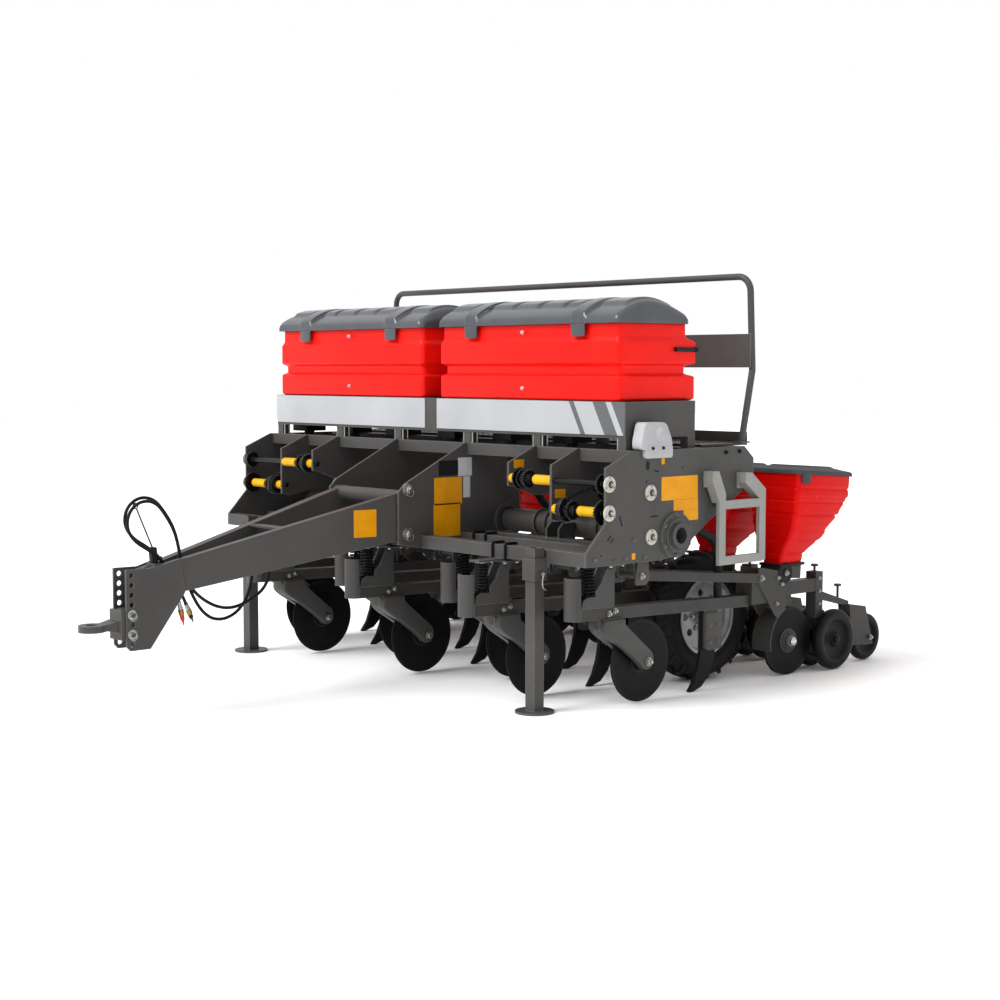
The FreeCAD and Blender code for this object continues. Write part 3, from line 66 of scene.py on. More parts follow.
def addNode(tree, kind, given=(), output=None):
    # one node: each given value is an attribute, an input's value or a link from another node
    node = tree.nodes.new(kind)
    for key, value in dict(given).items():
        if isinstance(value, bpy.types.NodeSocket):
            tree.links.new(value, node.inputs[key])
        elif isinstance(key, int) or key in node.inputs:
            node.inputs[key].default_value = value
        else:
            setattr(node, key, value)
    return node if output is None else node.outputs[output]


def computed(tree, operation, *terms, clamp=False):
    given = {"operation": operation, "use_clamp": clamp, **dict(enumerate(terms))}
    return addNode(tree, "ShaderNodeMath", given, "Value")


def cloudOf(tree, coords, scale, detail, roughness=0.5):
    given = {"Scale": scale, "Detail": detail, "Roughness": roughness, "Vector": coords}
    return addNode(tree, "ShaderNodeTexNoise", given, "Fac")


def tinted(tree, amount, tone, hexColour):
    return addNode(tree, "ShaderNodeMix", {"data_type": "RGBA", 0: amount, 6: tone, 7: linear(hexColour)}, 2)


def rampOf(tree, factor, stops):
    node = addNode(tree, "ShaderNodeValToRGB", {"Fac": factor})
    for element, (where, colour) in zip(node.color_ramp.elements, stops):
        element.position = where
        element.color = colour if isinstance(colour, list) else [colour, colour, colour, 1.0]
    return node.outputs["Color"]


def newMaterial(name):
    material = bpy.data.materials.new(name)
    material.use_nodes = True
    tree = material.node_tree
    tree.nodes.clear()
    shader = addNode(tree, "ShaderNodeBsdfPrincipled")
    addNode(tree, "ShaderNodeOutputMaterial", {"Surface": shader.outputs["BSDF"]})
    return material, tree, shader, addNode(tree, "ShaderNodeTexCoord", {}, "Object")


def dress(tree, shader, tone, drift, rough, grain, bump, bumpMm, normal=None):
    # colour, a roughness that wanders with the drift, and a fine bump from the grain
    low, high = rough
    wander = addNode(tree, "ShaderNodeMapRange", {"To Min": low, "To Max": high, "Value": drift}, "Result")
    relief = {"Strength": bump, "Distance": bumpMm / 1000, "Height": grain}
    if normal is not None:
        relief["Normal"] = normal
    raised = addNode(tree, "ShaderNodeBump", relief, "Normal")
    for source, key in ((tone, "Base Color"), (wander, "Roughness"), (raised, "Normal")):
        tree.links.new(source, shader.inputs[key])


def surface(name, deep, light, driftMm, grainMm, rough, bump, bumpMm=0.4, edge=None, edgeMm=3, edgeGain=6.0,
            dust=None, dustMm=260, dustShare=0.25, metal=0.0, ior=None, specular=0.5):
    # a painted, moulded or metal surface: colour drifts between two tones, an edge colour and dust sit on top. The edge
    # colour is laid along every edge; where it is lighter it is a painted highlight where the edges catch the light,
    # and on rubbed metal it also stands for wear.
    # driftMm and grainMm are sizes on the real surface
    material, tree, shader, coords = newMaterial(name)
    drift = cloudOf(tree, coords, 1000 / driftMm, 5.0, 0.6)
    grain = cloudOf(tree, coords, 1000 / grainMm, 3.0, 0.55)
    tone = rampOf(tree, drift, [(0.3, linear(deep)), (0.7, linear(light))])
    softened = None
    if edge:
        softened = addNode(tree, "ShaderNodeBevel", {"samples": 4, "Radius": edgeMm / 1000}, "Normal")
        plain = addNode(tree, "ShaderNodeNewGeometry", {}, "Normal")
        turned = addNode(tree, "ShaderNodeVectorMath", {"operation": "DOT_PRODUCT", 0: softened, 1: plain}, "Value")
        # worn marks the edges: where the edge colour is lighter it paints a highlight, and on rubbed metal it also
        # stands for wear
        worn = computed(tree, "MULTIPLY_ADD", turned, -edgeGain, edgeGain)
        tone = tinted(tree, computed(tree, "MULTIPLY", worn, drift, clamp=True), tone, edge)
    if dust:
        amount = rampOf(tree, cloudOf(tree, coords, 1000 / dustMm, 8.0, 0.7), [(0.48, 0.0), (0.8, dustShare)])
        tone = tinted(tree, amount, tone, dust)
    dress(tree, shader, tone, drift, rough, grain, bump, bumpMm, softened)
    shader.inputs["Metallic"].default_value = metal
    shader.inputs["Specular IOR Level"].default_value = specular
    if ior:
        shader.inputs["IOR"].default_value = ior
    return material


# Powder-coated steel: satin, faint orange peel, cut edges catch the light
framePaint = surface("charcoalPowderCoat", "#3C3B3A", "#464544", driftMm=420, grainMm=2.2, rough=(0.38, 0.5),
    bump=0.12, edge="#93928F", edgeMm=4, edgeGain=5, dust="#6A665F", dustShare=0.1, specular=0.22)
# Dip-painted castings and weldments on the row units: darker, a little rougher
unitPaint = surface("dippedDarkPaint", "#333230", "#3D3C3A", driftMm=180, grainMm=1.6, rough=(0.4, 0.56), bump=0.2,
    edge="#7E7D7A", dust="#5E5A54", dustShare=0.12, specular=0.2)
# Black enamel on discs, knives and springs: deep, with a soft sheen
blackEnamel = surface("blackToolEnamel", "#0B0B0C", "#141415", driftMm=140, grainMm=1.2, rough=(0.32, 0.46), bump=0.1,
    edge="#3C3C3C", edgeMm=1.5, edgeGain=4, specular=0.1)
# Rolled disc steel under a worn black coat: the bevel is a shade lighter than the blade
discEdge = surface("wornDiscCoat", "#151516", "#28282A", driftMm=22, grainMm=0.8, rough=(0.28, 0.4), bump=0.08,
    metal=0.2, specular=0.12)
# Rotationally moulded polyethylene: bright red, waxy, slightly wavy; the lighter edge colour is a painted highlight on
# its rounded edges
redMoulding = surface("redRotoMoulding", "#D60C05", "#E91408", driftMm=300, grainMm=16, rough=(0.32, 0.42), bump=0.06,
    bumpMm=1.2, edge="#FF4430", edgeMm=9, edgeGain=1.0, ior=1.51, specular=0.14)
# The seed hoppers in a deeper red with a harder gloss: the darker red is painted shade for their flanks that face away
# from the light, and their lighter edges are a painted highlight
shadeDarkenedRedMoulding = surface("shadeDarkenedRedGlossMoulding", "#C00301", "#D20603", driftMm=220, grainMm=10, rough=(0.22, 0.32),
    bump=0.06, bumpMm=0.8, edge="#FF4A38", edgeMm=6, edgeGain=1.6, ior=1.51, specular=0.09)
# The lids are moulded in a blue-grey with a fine leather grain; the lighter edge colour is a painted highlight on their
# rounded edges
lidMoulding = surface("greyGrainedMoulding", "#393B40", "#46484D", driftMm=240, grainMm=2.0, rough=(0.2, 0.3),
    bump=0.22, bumpMm=0.5, edge="#8E9198", edgeMm=7, edgeGain=3, ior=1.5)
# The seed lids are a little darker and much rougher than the big ones
seedLidMoulding = surface("greyDarkRoughMoulding", "#323437", "#3D3F42", driftMm=160, grainMm=2.0, rough=(0.6, 0.74),
    bump=0.35, bumpMm=0.5, ior=1.5, specular=0.3)
# Light grey paint of the ladder
ladderPaint = surface("lightGreyPaint", "#7E7F7B", "#8B8C88", driftMm=160, grainMm=2, rough=(0.4, 0.55), bump=0.1,
    edge="#6A6B68", edgeMm=2, edgeGain=3, dust="#8F8B82", dustShare=0.2, specular=0.35)
# Pale moulded cover; the lighter edge colour is a painted highlight on its rounded edges
coverMoulding = surface("paleGreyMoulding", "#9B9B9E", "#A8A8AB", driftMm=120, grainMm=3, rough=(0.38, 0.5),
    bump=0.12, edge="#CDCDCE", edgeMm=8, edgeGain=2, ior=1.5, specular=0.35)
# Bright zinc on shafts, nuts and bolts: faint blue and straw tints
zincPlate = surface("brightZincPlate", "#8F9192", "#B3B1A8", driftMm=30, grainMm=1.2, rough=(0.24, 0.42), bump=0.12,
    metal=1.0)
# Turned brass of the coupler collars, dulled by handling
brassCollar = surface("turnedBrass", "#8B6B3C", "#AC8A52", driftMm=16, grainMm=0.8, rough=(0.26, 0.4), bump=0.1,
    metal=1.0)
# Oiled black steel of shafts, sprockets and chain: tooth tips and rims rub bright
oiledSteel = surface("oiledDriveSteel", "#141416", "#242426", driftMm=26, grainMm=1.0, rough=(0.28, 0.42), bump=0.12,
    edge="#8F9193", edgeMm=1.6, metal=0.75)
# Cream-painted cast bearing housings; the lighter edge colour is a painted highlight on their rims
creamCasting = surface("creamPaintedCasting", "#ADAA9F", "#C0BDB2", driftMm=30, grainMm=2.4, rough=(0.36, 0.5),
    bump=0.25, edge="#D8D6CC", edgeMm=2, edgeGain=3, dust="#7C7769", dustMm=60, specular=0.4)
# Cast nylon bushes
yellowNylon = surface("yellowCastNylon", "#C69200", "#D8A404", driftMm=60, grainMm=1.5, rough=(0.35, 0.5), bump=0.1,
    ior=1.53, specular=0.25)
# Vulcanised tyre rubber, dusty in the grooves
tyreRubber = surface("vulcanisedRubber", "#121213", "#1C1C1D", driftMm=90, grainMm=1.4, rough=(0.55, 0.75), bump=0.35,
    dust="#3F3B34", dustMm=120, dustShare=0.14, specular=0.14)
# Pressed rubber bands of the small wheels: smoother, with a sheen
bandRubber = surface("polishedBandRubber", "#0C0C0C", "#151515", driftMm=80, grainMm=1.5, rough=(0.28, 0.4),
    bump=0.12, dust="#22201D", dustShare=0.06, specular=0.1)
# Silver paint of the wheel rims
rimPaint = surface("silverRimPaint", "#8B8D8F", "#A2A4A6", driftMm=90, grainMm=1.5, rough=(0.34, 0.48), bump=0.1,
    dust="#5F5A52", dustMm=110, dustShare=0.3, metal=0.3)
# Ground and hard-chromed rod
chromedRod = surface("hardChrome", "#A9ACB0", "#C2C4C7", driftMm=60, grainMm=0.8, rough=(0.08, 0.16), bump=0.03,
    metal=1.0)
# Hydraulic hose with a rubber cover
hoseRubber = surface("extrudedHoseRubber", "#0C0C0C", "#151515", driftMm=60, grainMm=1.0, rough=(0.42, 0.56),
    bump=0.25, specular=0.16)
# Dipped soft-plastic caps
redCap = surface("redCapPlastic", "#BE1B0B", "#D22912", driftMm=25, grainMm=1.0, rough=(0.3, 0.42), bump=0.05,
    specular=0.3)
# Injection-moulded black fittings
blackPlastic = surface("blackMouldedPlastic", "#0F1012", "#191A1C", driftMm=70, grainMm=1.4, rough=(0.4, 0.55),
    bump=0.2, specular=0.16)
# Plain vinyl stickers: flat colour that has faded a little unevenly
orangeLabel = surface("orangeVinylLabel", "#CB8600", "#DA9503", driftMm=80, grainMm=1.0, rough=(0.28, 0.36),
    bump=0.03, specular=0.18)
whiteLabel = surface("whiteVinylLabel", "#AEAEAF", "#BDBDBE", driftMm=80, grainMm=1.0, rough=(0.28, 0.36), bump=0.03,
    specular=0.3)

def stripedPanel():
    # Silver-painted sheet with slanting grey stripes at its outer ends
    stripes = {"slope": 0.52, "topZ": 1.4628, "edges": ((1.0576, 1.09), (1.2199, 1.3069), (1.3447, 1.5))}   # metres
    material, tree, shader, coords = newMaterial("stripedSilverPaint")
    drift = cloudOf(tree, coords, 3.0, 4.0)
    base = rampOf(tree, drift, [(0.3, linear("#9B9DA0")), (0.7, linear("#A6A8AB"))])
    xyz = addNode(tree, "ShaderNodeSeparateXYZ", {"Vector": coords})
    fromCentre = computed(tree, "SUBTRACT", xyz.outputs["X"], centreX)
    lowered = computed(tree, "MULTIPLY_ADD", xyz.outputs["Z"], stripes["slope"], -stripes["topZ"] * stripes["slope"])
    along = computed(tree, "ADD", fromCentre, lowered)
    total = None
    for low, high in stripes["edges"]:
        above, below = computed(tree, "GREATER_THAN", along, low), computed(tree, "LESS_THAN", along, high)
        band = computed(tree, "MULTIPLY", above, below)
        total = band if total is None else computed(tree, "ADD", total, band)
    grain = cloudOf(tree, coords, 500.0, 2.0)
    dress(tree, shader, tinted(tree, total, base, "#505154"), drift, (0.3, 0.42), grain, 0.06, 0.3)
    return material


silverPaint = stripedPanel()

nodeFinish = {}
for material, names in (
        (framePaint, "frame_plates tool_bars drawbar_beams hitch_plates hitch_eye jack_sleeves hopper_cradle walkway"),
        (framePaint, "handrail spring_covers lift_frame lift_cylinder jack_leg_right jack_leg_left"),
        (unitPaint, "row_beams seed_frames"), (silverPaint, "cradle_panels"), (ladderPaint, "ladder"),
        (redMoulding, "fertiliser_hoppers seed_hoppers"), (lidMoulding, "seed_lids hopper_lid_right hopper_lid_left"),
        (coverMoulding, "drive_cover"), (blackPlastic, "fertiliser_meters return_coupler"),
        (redCap, "pressure_coupler"), (yellowNylon, "shaft_bushes"),
        (blackEnamel, "knife_shanks pressure_springs opener_discs"), (oiledSteel, "drive_shafts"),
        (hoseRubber, "pressure_hose return_hose"), (chromedRod, "lift_rod"),
        (tyreRubber, "tyre_right tyre_left"), (rimPaint, "rim_right rim_left")):
    nodeFinish.update((name, material) for name in names.split())
for k in range(1, 8):
    nodeFinish.update({"coulter_disc_%d" % k: blackEnamel, "gauge_wheels_%d" % k: bandRubber,
                       "press_wheel_%d" % k: bandRubber})
for nodeName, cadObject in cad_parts.items():
    for slot in cadObject.material_slots:
        slot.material = nodeFinish[nodeName]
    if not cadObject.material_slots:
        cadObject.data.materials.append(nodeFinish[nodeName])
print("finishes given to", len(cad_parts), "nodes")

# looks: a material and its slot
charcoal, unit = (framePaint, "charcoal_paint"), (unitPaint, "charcoal_paint")
black, oiled, worn = (blackEnamel, "black_paint"), (oiledSteel, "black_paint"), (discEdge, "black_paint")
zinc, chrome, plastic = (zincPlate, "zinc_plate"), (chromedRod, "chrome_rod"), (blackPlastic, "black_plastic")


def linked(name, data):
    thing = bpy.data.objects.new(name, data)
    bpy.context.scene.collection.objects.link(thing)
    return thing


def shown(name, data, body, slot):
    piece = linked(name, data)
    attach(piece, body)
    return piece


def gathered(parts):
    # several (verts, faces) as one
    verts, faces = [], []
    for someVerts, someFaces in parts:
        base = len(verts)
        verts += list(someVerts)
        faces += [tuple(base + i for i in face) for face in someFaces]
    return verts, faces


def addPiece(name, parts, look, crisp=None, body="frame"):
    # one mesh with its place in its vertices, doubles merged and faces outwards. Edges steeper than crisp
    # degrees stay sharp; at 0 every face is flat
    verts, faces = gathered(parts)
    mesh = bpy.data.meshes.new(name)
    mesh.from_pydata([tuple(v) for v in verts], [], faces)
    mesh.materials.append(look[0])
    mesh.polygons.foreach_set("use_smooth", [crisp != 0] * len(mesh.polygons))
    mesh.update()
    piece = shown(name, mesh, body, look[1])
    work = bmesh.new()
    work.from_mesh(mesh)
    bmesh.ops.remove_doubles(work, verts=work.verts, dist=0.00005)
    bmesh.ops.recalc_face_normals(work, faces=work.faces)
    work.to_mesh(mesh)
    work.free()
    if crisp:
        mesh.set_sharp_from_angle(angle=math.radians(crisp))
    return piece


def smoothStep(low, high, value):
    share = min(max((value - low) / (high - low), 0.0), 1.0)
    return share * share * (3 - 2 * share)


def circle(count, start=0.0, closed=False):
    # cosines and sines of even steps round a full turn; a closed one comes back to its first
    angles = [2 * math.pi * (i + start) / count for i in range(count + closed)]
    return [(math.cos(angle), math.sin(angle)) for angle in angles]


def arc(x, y, radius, start, sweep, steps):
    angles = [math.radians(start + sweep * i / steps) for i in range(steps + 1)]
    return [(x + radius * math.cos(angle), y + radius * math.sin(angle)) for angle in angles]


def roundedLoop(x0, x1, y0, y1, radius, steps):
    # points of a rounded rectangle in plan, anticlockwise, steps + 1 at each corner
    corners = ((x1 - radius, y0 + radius, -90), (x1 - radius, y1 - radius, 0), (x0 + radius, y1 - radius, 90),
               (x0 + radius, y0 + radius, 180))
    return [spot for x, y, start in corners for spot in arc(x, y, radius, start, 90, steps)]


def skinOver(loops):
    # quads between loops of equal length, closed at both ends
    count, last = len(loops[0]), len(loops) - 1
    faces = []
    for k in range(last):
        for i in range(count):
            j = (i + 1) % count
            faces.append((k * count + i, k * count + j, (k + 1) * count + j, (k + 1) * count + i))
    faces += [tuple(range(count - 1, -1, -1)), tuple(range(last * count, (last + 1) * count))]
    return [v for loop in loops for v in loop], faces


def spun(centre, axis, profile, segments):
    # a ring or a cap turned about an axis, 1 or -1 for one across the machine; profile: (along it, radius) in mm
    along = Vector((axis, 0, 0) if isinstance(axis, int) else axis).normalized()
    side = along.orthogonal().normalized()
    other = along.cross(side)
    verts, faces = [], []
    for c, s in circle(segments):
        out = side * c + other * s
        verts += [centre + along * (far / 1000) + out * (radius / 1000) for far, radius in profile]
    n = len(profile)
    for i in range(segments):
        j = (i + 1) % segments
        faces += [(i * n + k, i * n + k + 1, j * n + k + 1, j * n + k) for k in range(n - 1)]
    return verts, faces


def slab(outline, xs):
    # an outline of (y, z) corners, drawn across the machine between its xs
    return skinOver([[place(x, y, z) for y, z in outline] for x in xs])


def tubeAlong(points, radius, around):
    # a round bar swept through points in metres, its rings carried along without twist
    points = [Vector(p) for p in points]
    ways = [(b - a).normalized() for a, b in zip(points, points[1:])]
    across = ways[0].orthogonal().normalized()
    loops = []
    for i, point in enumerate(points):
        before, after = ways[max(i - 1, 0)], ways[min(i, len(ways) - 1)]
        way = (before + after).normalized()
        across = (across - way * across.dot(way)).normalized()
        other = way.cross(across)
        reach = radius / 1000 / max(before.dot(way), 0.5)
        loops.append([point + across * (reach * c) + other * (reach * s) for c, s in circle(around)])
    return skinOver(loops)


def bent(before, corner, after, radius, share, steps):
    # a soft bend in place of one corner, using at most a share of each side
    lead = min(radius, (before - corner).length * share, (after - corner).length * share)
    start, end = corner + (before - corner).normalized() * lead, corner + (after - corner).normalized() * lead
    shares = [i / steps for i in range(steps + 1)]
    return [start * (1 - t) ** 2 + corner * (2 * t * (1 - t)) + end * t ** 2 for t in shares]


def rounded(points, radius):
    # the same path with a bend in place of each inner corner
    path = [points[0]]
    for before, corner, after in zip(points, points[1:], points[2:]):
        path += bent(before, corner, after, radius / 1000, 0.49, 5)
    return path + [points[-1]]


def newTree(name, inputs):
    tree = bpy.data.node_groups.new(name, "GeometryNodeTree")
    tree.interface.new_socket("Geometry", in_out="INPUT", socket_type="NodeSocketGeometry")
    for label, value in inputs.items():
        tree.interface.new_socket(label, in_out="INPUT", socket_type="NodeSocketFloat").default_value = value
    tree.interface.new_socket("Geometry", in_out="OUTPUT", socket_type="NodeSocketGeometry")
    return tree, tree.nodes.new("NodeGroupInput")


def bakeTree(tree, spots, settings, name, look, body="frame"):
    # runs the tree on spots (place, direction, size, turn) and keeps the plain mesh that comes out
    source = bpy.data.meshes.new(name + "Spots")
    source.from_pydata([tuple(spot[0]) for spot in spots], [], [])
    directions = source.attributes.new("direction", "FLOAT_VECTOR", "POINT")
    directions.data.foreach_set("vector", [c for spot in spots for c in spot[1]])
    for k, key in ((2, "size"), (3, "turn")):
        source.attributes.new(key, "FLOAT", "POINT").data.foreach_set("value", [float(spot[k]) for spot in spots])
    holder = linked(name + "Spots", source)
    modifier = holder.modifiers.new("build", "NODES")
    modifier.node_group = tree
    sockets = {item.name: item.identifier for item in tree.interface.items_tree if item.in_out == "INPUT"}
    for key, value in settings.items():
        modifier[sockets[key]] = value
    bpy.context.view_layer.update()
    mesh = bpy.data.meshes.new_from_object(holder.evaluated_get(bpy.context.evaluated_depsgraph_get()))
    mesh.name = name
    bpy.data.objects.remove(holder)
    return shown(name, mesh, body, look[1])


def placedOnSpots(tree, groupIn, instance, material):
    # one instance on each spot, its Z turned along "direction", grown by "size" and rolled by "turn"
    points = addNode(tree, "GeometryNodeMeshToPoints", {"Mesh": groupIn.outputs["Geometry"]}, "Points")
    direction, size, turn = [
        addNode(tree, "GeometryNodeInputNamedAttribute", {"data_type": kind, "Name": key}, "Attribute")
        for key, kind in (("direction", "FLOAT_VECTOR"), ("size", "FLOAT"), ("turn", "FLOAT"))]
    aligned = addNode(tree, "FunctionNodeAlignRotationToVector", {"axis": "Z", "Vector": direction}, "Rotation")
    rolled = addNode(tree, "FunctionNodeAxisAngleToRotation", {"Axis": (0, 0, 1), "Angle": turn}, "Rotation")
    both = addNode(tree, "FunctionNodeRotateRotation",
                   {"rotation_space": "LOCAL", "Rotation": aligned, "Rotate By": rolled}, "Rotation")
    placed = addNode(tree, "GeometryNodeInstanceOnPoints",
                     {"Points": points, "Instance": instance, "Rotation": both, "Scale": size}, "Instances")
    real = addNode(tree, "GeometryNodeRealizeInstances", {"Geometry": placed}, "Geometry")
    painted = addNode(tree, "GeometryNodeSetMaterial", {"Material": material, "Geometry": real}, "Geometry")
    addNode(tree, "NodeGroupOutput", {"Geometry": painted})
    return tree


def bar(tree, count, radiusTop, radiusBottom, depth, height):
    # a prism or frustum that stands on height, in metres
    cone = addNode(tree, "GeometryNodeMeshCone", {"fill_type": "NGON", "Vertices": count, "Radius Top": radiusTop,
                                                 "Radius Bottom": radiusBottom, "Depth": depth}, "Mesh")
    return addNode(tree, "GeometryNodeTransform", {"Translation": (0, 0, height), "Geometry": cone}, "Geometry")


def boltTree(material):
    # hex head with a chamfered crown on a flange washer, for an M12 at size 1
    tree, groupIn = newTree("hexBolt", {"Flange": 0.0125})
    flange = groupIn.outputs["Flange"]
    washer = {"fill_type": "NGON", "Vertices": 16, "Depth": 0.0026, "Radius Top": flange, "Radius Bottom": flange}
    join = addNode(tree, "GeometryNodeJoinGeometry")
    for part in (addNode(tree, "GeometryNodeMeshCone", washer, "Mesh"), bar(tree, 6, 0.0104, 0.0104, 0.0066, 0.0024),
                 bar(tree, 6, 0.0078, 0.0104, 0.0016, 0.009), bar(tree, 10, 0.0052, 0.006, 0.005, 0.0104)):
        tree.links.new(part, join.inputs["Geometry"])
    return placedOnSpots(tree, groupIn, join.outputs["Geometry"], material)


def bolts(name, spots, look=zinc, body="frame", flange=0.0125):
    # spots: (place in metres, direction, size)
    turned = [(*spot, 0.37 * i) for i, spot in enumerate(spots)]
    return bakeTree(boltTree(look[0]), turned, {"Flange": flange}, name, look, body)


print("helpers ready")

hoseSizes = {"radiusMm": 8.0, "resolution": 10}
pressureRoute = [(16, -745, 639.7), (16, -746, 596), (16, -770, 548), (17, -820, 510), (18, -888, 480),
                 (18, -966, 462), (17, -1044, 474), (15, -1116, 512), (14, -1178, 564), (14, -1220, 632),
                 (14, -1244, 706), (14, -1256, 784), (14, -1278, 862), (14, -1322, 936), (14, -1376, 1003),
                 (14, -1456, 1012), (14, -1520, 963), (14, -1532, 883), (14, -1485, 818), (14, -1415, 778),
                 (14, -1352, 729), (14, -1303, 666), (16, -1276, 592), (20, -1262, 520)]
returnRoute = [(-16, -822, 639.7), (-16, -823, 594), (-16, -838, 538), (-17, -866, 480), (-18, -914, 432),
               (-18, -980, 406), (-17, -1050, 412), (-16, -1106, 450), (-15, -1148, 508), (-14, -1182, 574),
               (-14, -1208, 644), (-14, -1228, 718), (-14, -1242, 796), (-14, -1266, 876), (-14, -1312, 950),
               (-14, -1370, 1017), (-14, -1450, 1028), (-14, -1516, 981), (-14, -1530, 901), (-14, -1484, 835),
               (-14, -1414, 794), (-14, -1350, 744), (-14, -1300, 680), (-20, -1258, 616), (-34, -1216, 556),
               (-52, -1180, 496)]


def hoseCurve(name, route, node, fittings):
    curve = bpy.data.curves.new(name, "CURVE")
    curve.dimensions = "3D"
    spline = curve.splines.new("NURBS")
    spline.points.add(len(route) - 1)
    for point, spot in zip(spline.points, route):
        point.co = list(place(*spot)) + [1.0]
    spline.order_u = 3
    spline.use_endpoint_u = True
    spline.resolution_u = hoseSizes["resolution"]
    curve.bevel_depth = hoseSizes["radiusMm"] / 1000
    curve.bevel_resolution = 5
    curve.use_fill_caps = True
    curve.materials.append(hoseRubber)
    hose = linked(name, curve)
    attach(hose, "frame")
    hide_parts(node)
    tuple(place(*route[0]))


couplerShape = {"length": 116, "segments": 28, "crimps": 3}


def couplerPieces(route, node, capLook, word):
    # a crimped ferrule, a turned collar and a dust cap, in line with the hose's end
    end, before = place(*route[-1]), place(*route[-2])
    tip = couplerShape["length"]
    ferrule = [(0, 0.1), (0, 10.4)]
    for i in range(couplerShape["crimps"]):
        ferrule += [(3 + 7 * i, 10.6), (4 + 7 * i, 9.6), (8 + 7 * i, 9.6), (9 + 7 * i, 10.6)]
    ferrule += [(26, 10.6), (27, 12.6), (33, 12.6), (34, 9.4), (38, 9.4), (38, 0.1)]
    collar = [(37, 9), (38, 13), (40, 14), (52, 14), (53, 12.6), (55, 12.6), (56, 14), (62, 14), (63.6, 12), (63.6, 9)]
    cap = [(63.6, 0.1), (63.6, 10.8), (66, 11), (84, 11), (88, 9.6), (94, 6.4), (104, 4.2), (tip - 2, 3.2), (tip, 2),
           (tip, 0.1)]
    pieces = []
    for part, profile, look in (("Ferrule", ferrule, zinc), ("Collar", collar, (brassCollar, "zinc_plate")),
                                ("Cap", cap, capLook)):
        turned = spun(end, (end - before).normalized(), profile, couplerShape["segments"])
        pieces.append(addPiece(word + part, [turned], look, 35))
    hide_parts(node)
    return pieces


hoseCurve("pressureHose", pressureRoute, "pressure_hose",
          couplerPieces(pressureRoute, "pressure_coupler", (redCap, "red_cap_plastic"), "pressure"))
hoseCurve("returnHose", returnRoute, "return_hose",
          couplerPieces(returnRoute, "return_coupler", plastic, "return"))
print("hoses laid")

binShape = {"ends": (70, 1394), "faces": (317, 806), "corner": 14, "cornerRound": 20, "wall": 8, "waveMm": 0.8,
            "seed": 4}
# height, how far the ends and the front draw in, how far the rear stands out
binLevels = ((1470, 14, 40), (1480, 0, 54), (1586, 0, 54), (1603, 24, 4), (1636, 24, 4), (1654, 0, 62),
             (1752, 0, 62), (1784, 12, 0), (1844, 12, 0))
hinges = {"places": (224, 733, 1242), "y": 820, "z": 1852}


def cutLoop(x0, x1, y0, y1):
    # a plan with its corners cut off and every arris rounded, anticlockwise
    turn = binShape["cornerRound"]
    reach = binShape["corner"] + turn * math.tan(math.radians(22.5))
    corners = ((x1, y0, -1, 1, -90), (x1, y1, -1, -1, 0), (x0, y1, 1, -1, 90), (x0, y0, 1, 1, 180))
    loop = []
    for cx, cy, inX, inY, start in corners:
        ends = [(cx + inX * reach, cy + inY * turn), (cx + inX * turn, cy + inY * reach)]
        for (x, y), begin in zip(ends if start in (-90, 90) else ends[::-1], (start, start + 45)):
            loop += arc(x, y, turn, begin, 45, 3)
    return loop


def levelAt(levels, z):
    # wall offsets between the levels, eased so that every fold is soft
    for (z0, *low), (z1, *high) in zip(levels, levels[1:]):
        if z <= z1:
            share = smoothStep(z0, z1, z)
            return [a + (b - a) * share for a, b in zip(low, high)]
    return list(levels[-1][1:])


def binSkin(side):
    (x0, x1), (y0, y1) = binShape["ends"], binShape["faces"]
    top, floor = binLevels[-1][0], binLevels[0][0]
    heights = [floor + (top - floor) * i / 62 for i in range(63)]
    loops = []
    for z, wall in [(z, 0) for z in heights] + [(z, binShape["wall"]) for z in heights[:1:-2]]:
        draw, behind = levelAt(binLevels, z)
        ring = []
        for x, y in cutLoop(x0 + draw + wall, x1 - draw - wall, y0 + draw + wall, y1 + behind - wall):
            sway = noise.noise(Vector((x * 0.004, y * 0.004, z * 0.006 + binShape["seed"]))) * binShape["waveMm"]
            ring.append(place(side * (x + sway), y + sway, z))
        loops.append(ring)
    return skinOver(loops)


for side, word in sides:
    fertiliserBin = addPiece("fertiliserBin_" + word, [binSkin(side)], (redMoulding, "red_plastic"), 50)
    if side > 0:
        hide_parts("fertiliser_hoppers")

# Hinge ears on the bins' rear lips: cast pairs either side of each knuckle
ears = []
earOutline = ((805, 1794), (828, 1824), (828, 1857), (810, 1857), (810, 1842), (805, 1842))
for side in (1, -1):
    for x in hinges["places"]:
        for near in (15, -23):
            ears.append(slab(earOutline, (side * (x + near), side * (x + near + 8))))
        pin = place(side * x - 23, hinges["y"], hinges["z"])
        ears.append(spun(pin, 1, [(0, 0.1), (0, 4), (46, 4), (46, 0.1)], 12))
addPiece("binHingeEars", ears, plastic, 0)

lidShape = {"ends": (66, 1408), "faces": (302, 806), "low": 1844.3, "turn": 34, "across": 176, "deep": 56, "crown": 86,
            "edge": 26, "strapRise": 19, "panelRise": 16, "endRoll": 30, "skin": 6}
strapCentres = (336, 1125)
lidPanels = ((96, 268), (404, 566), (588, 750), (772, 934), (956, 1058), (1192, 1366))


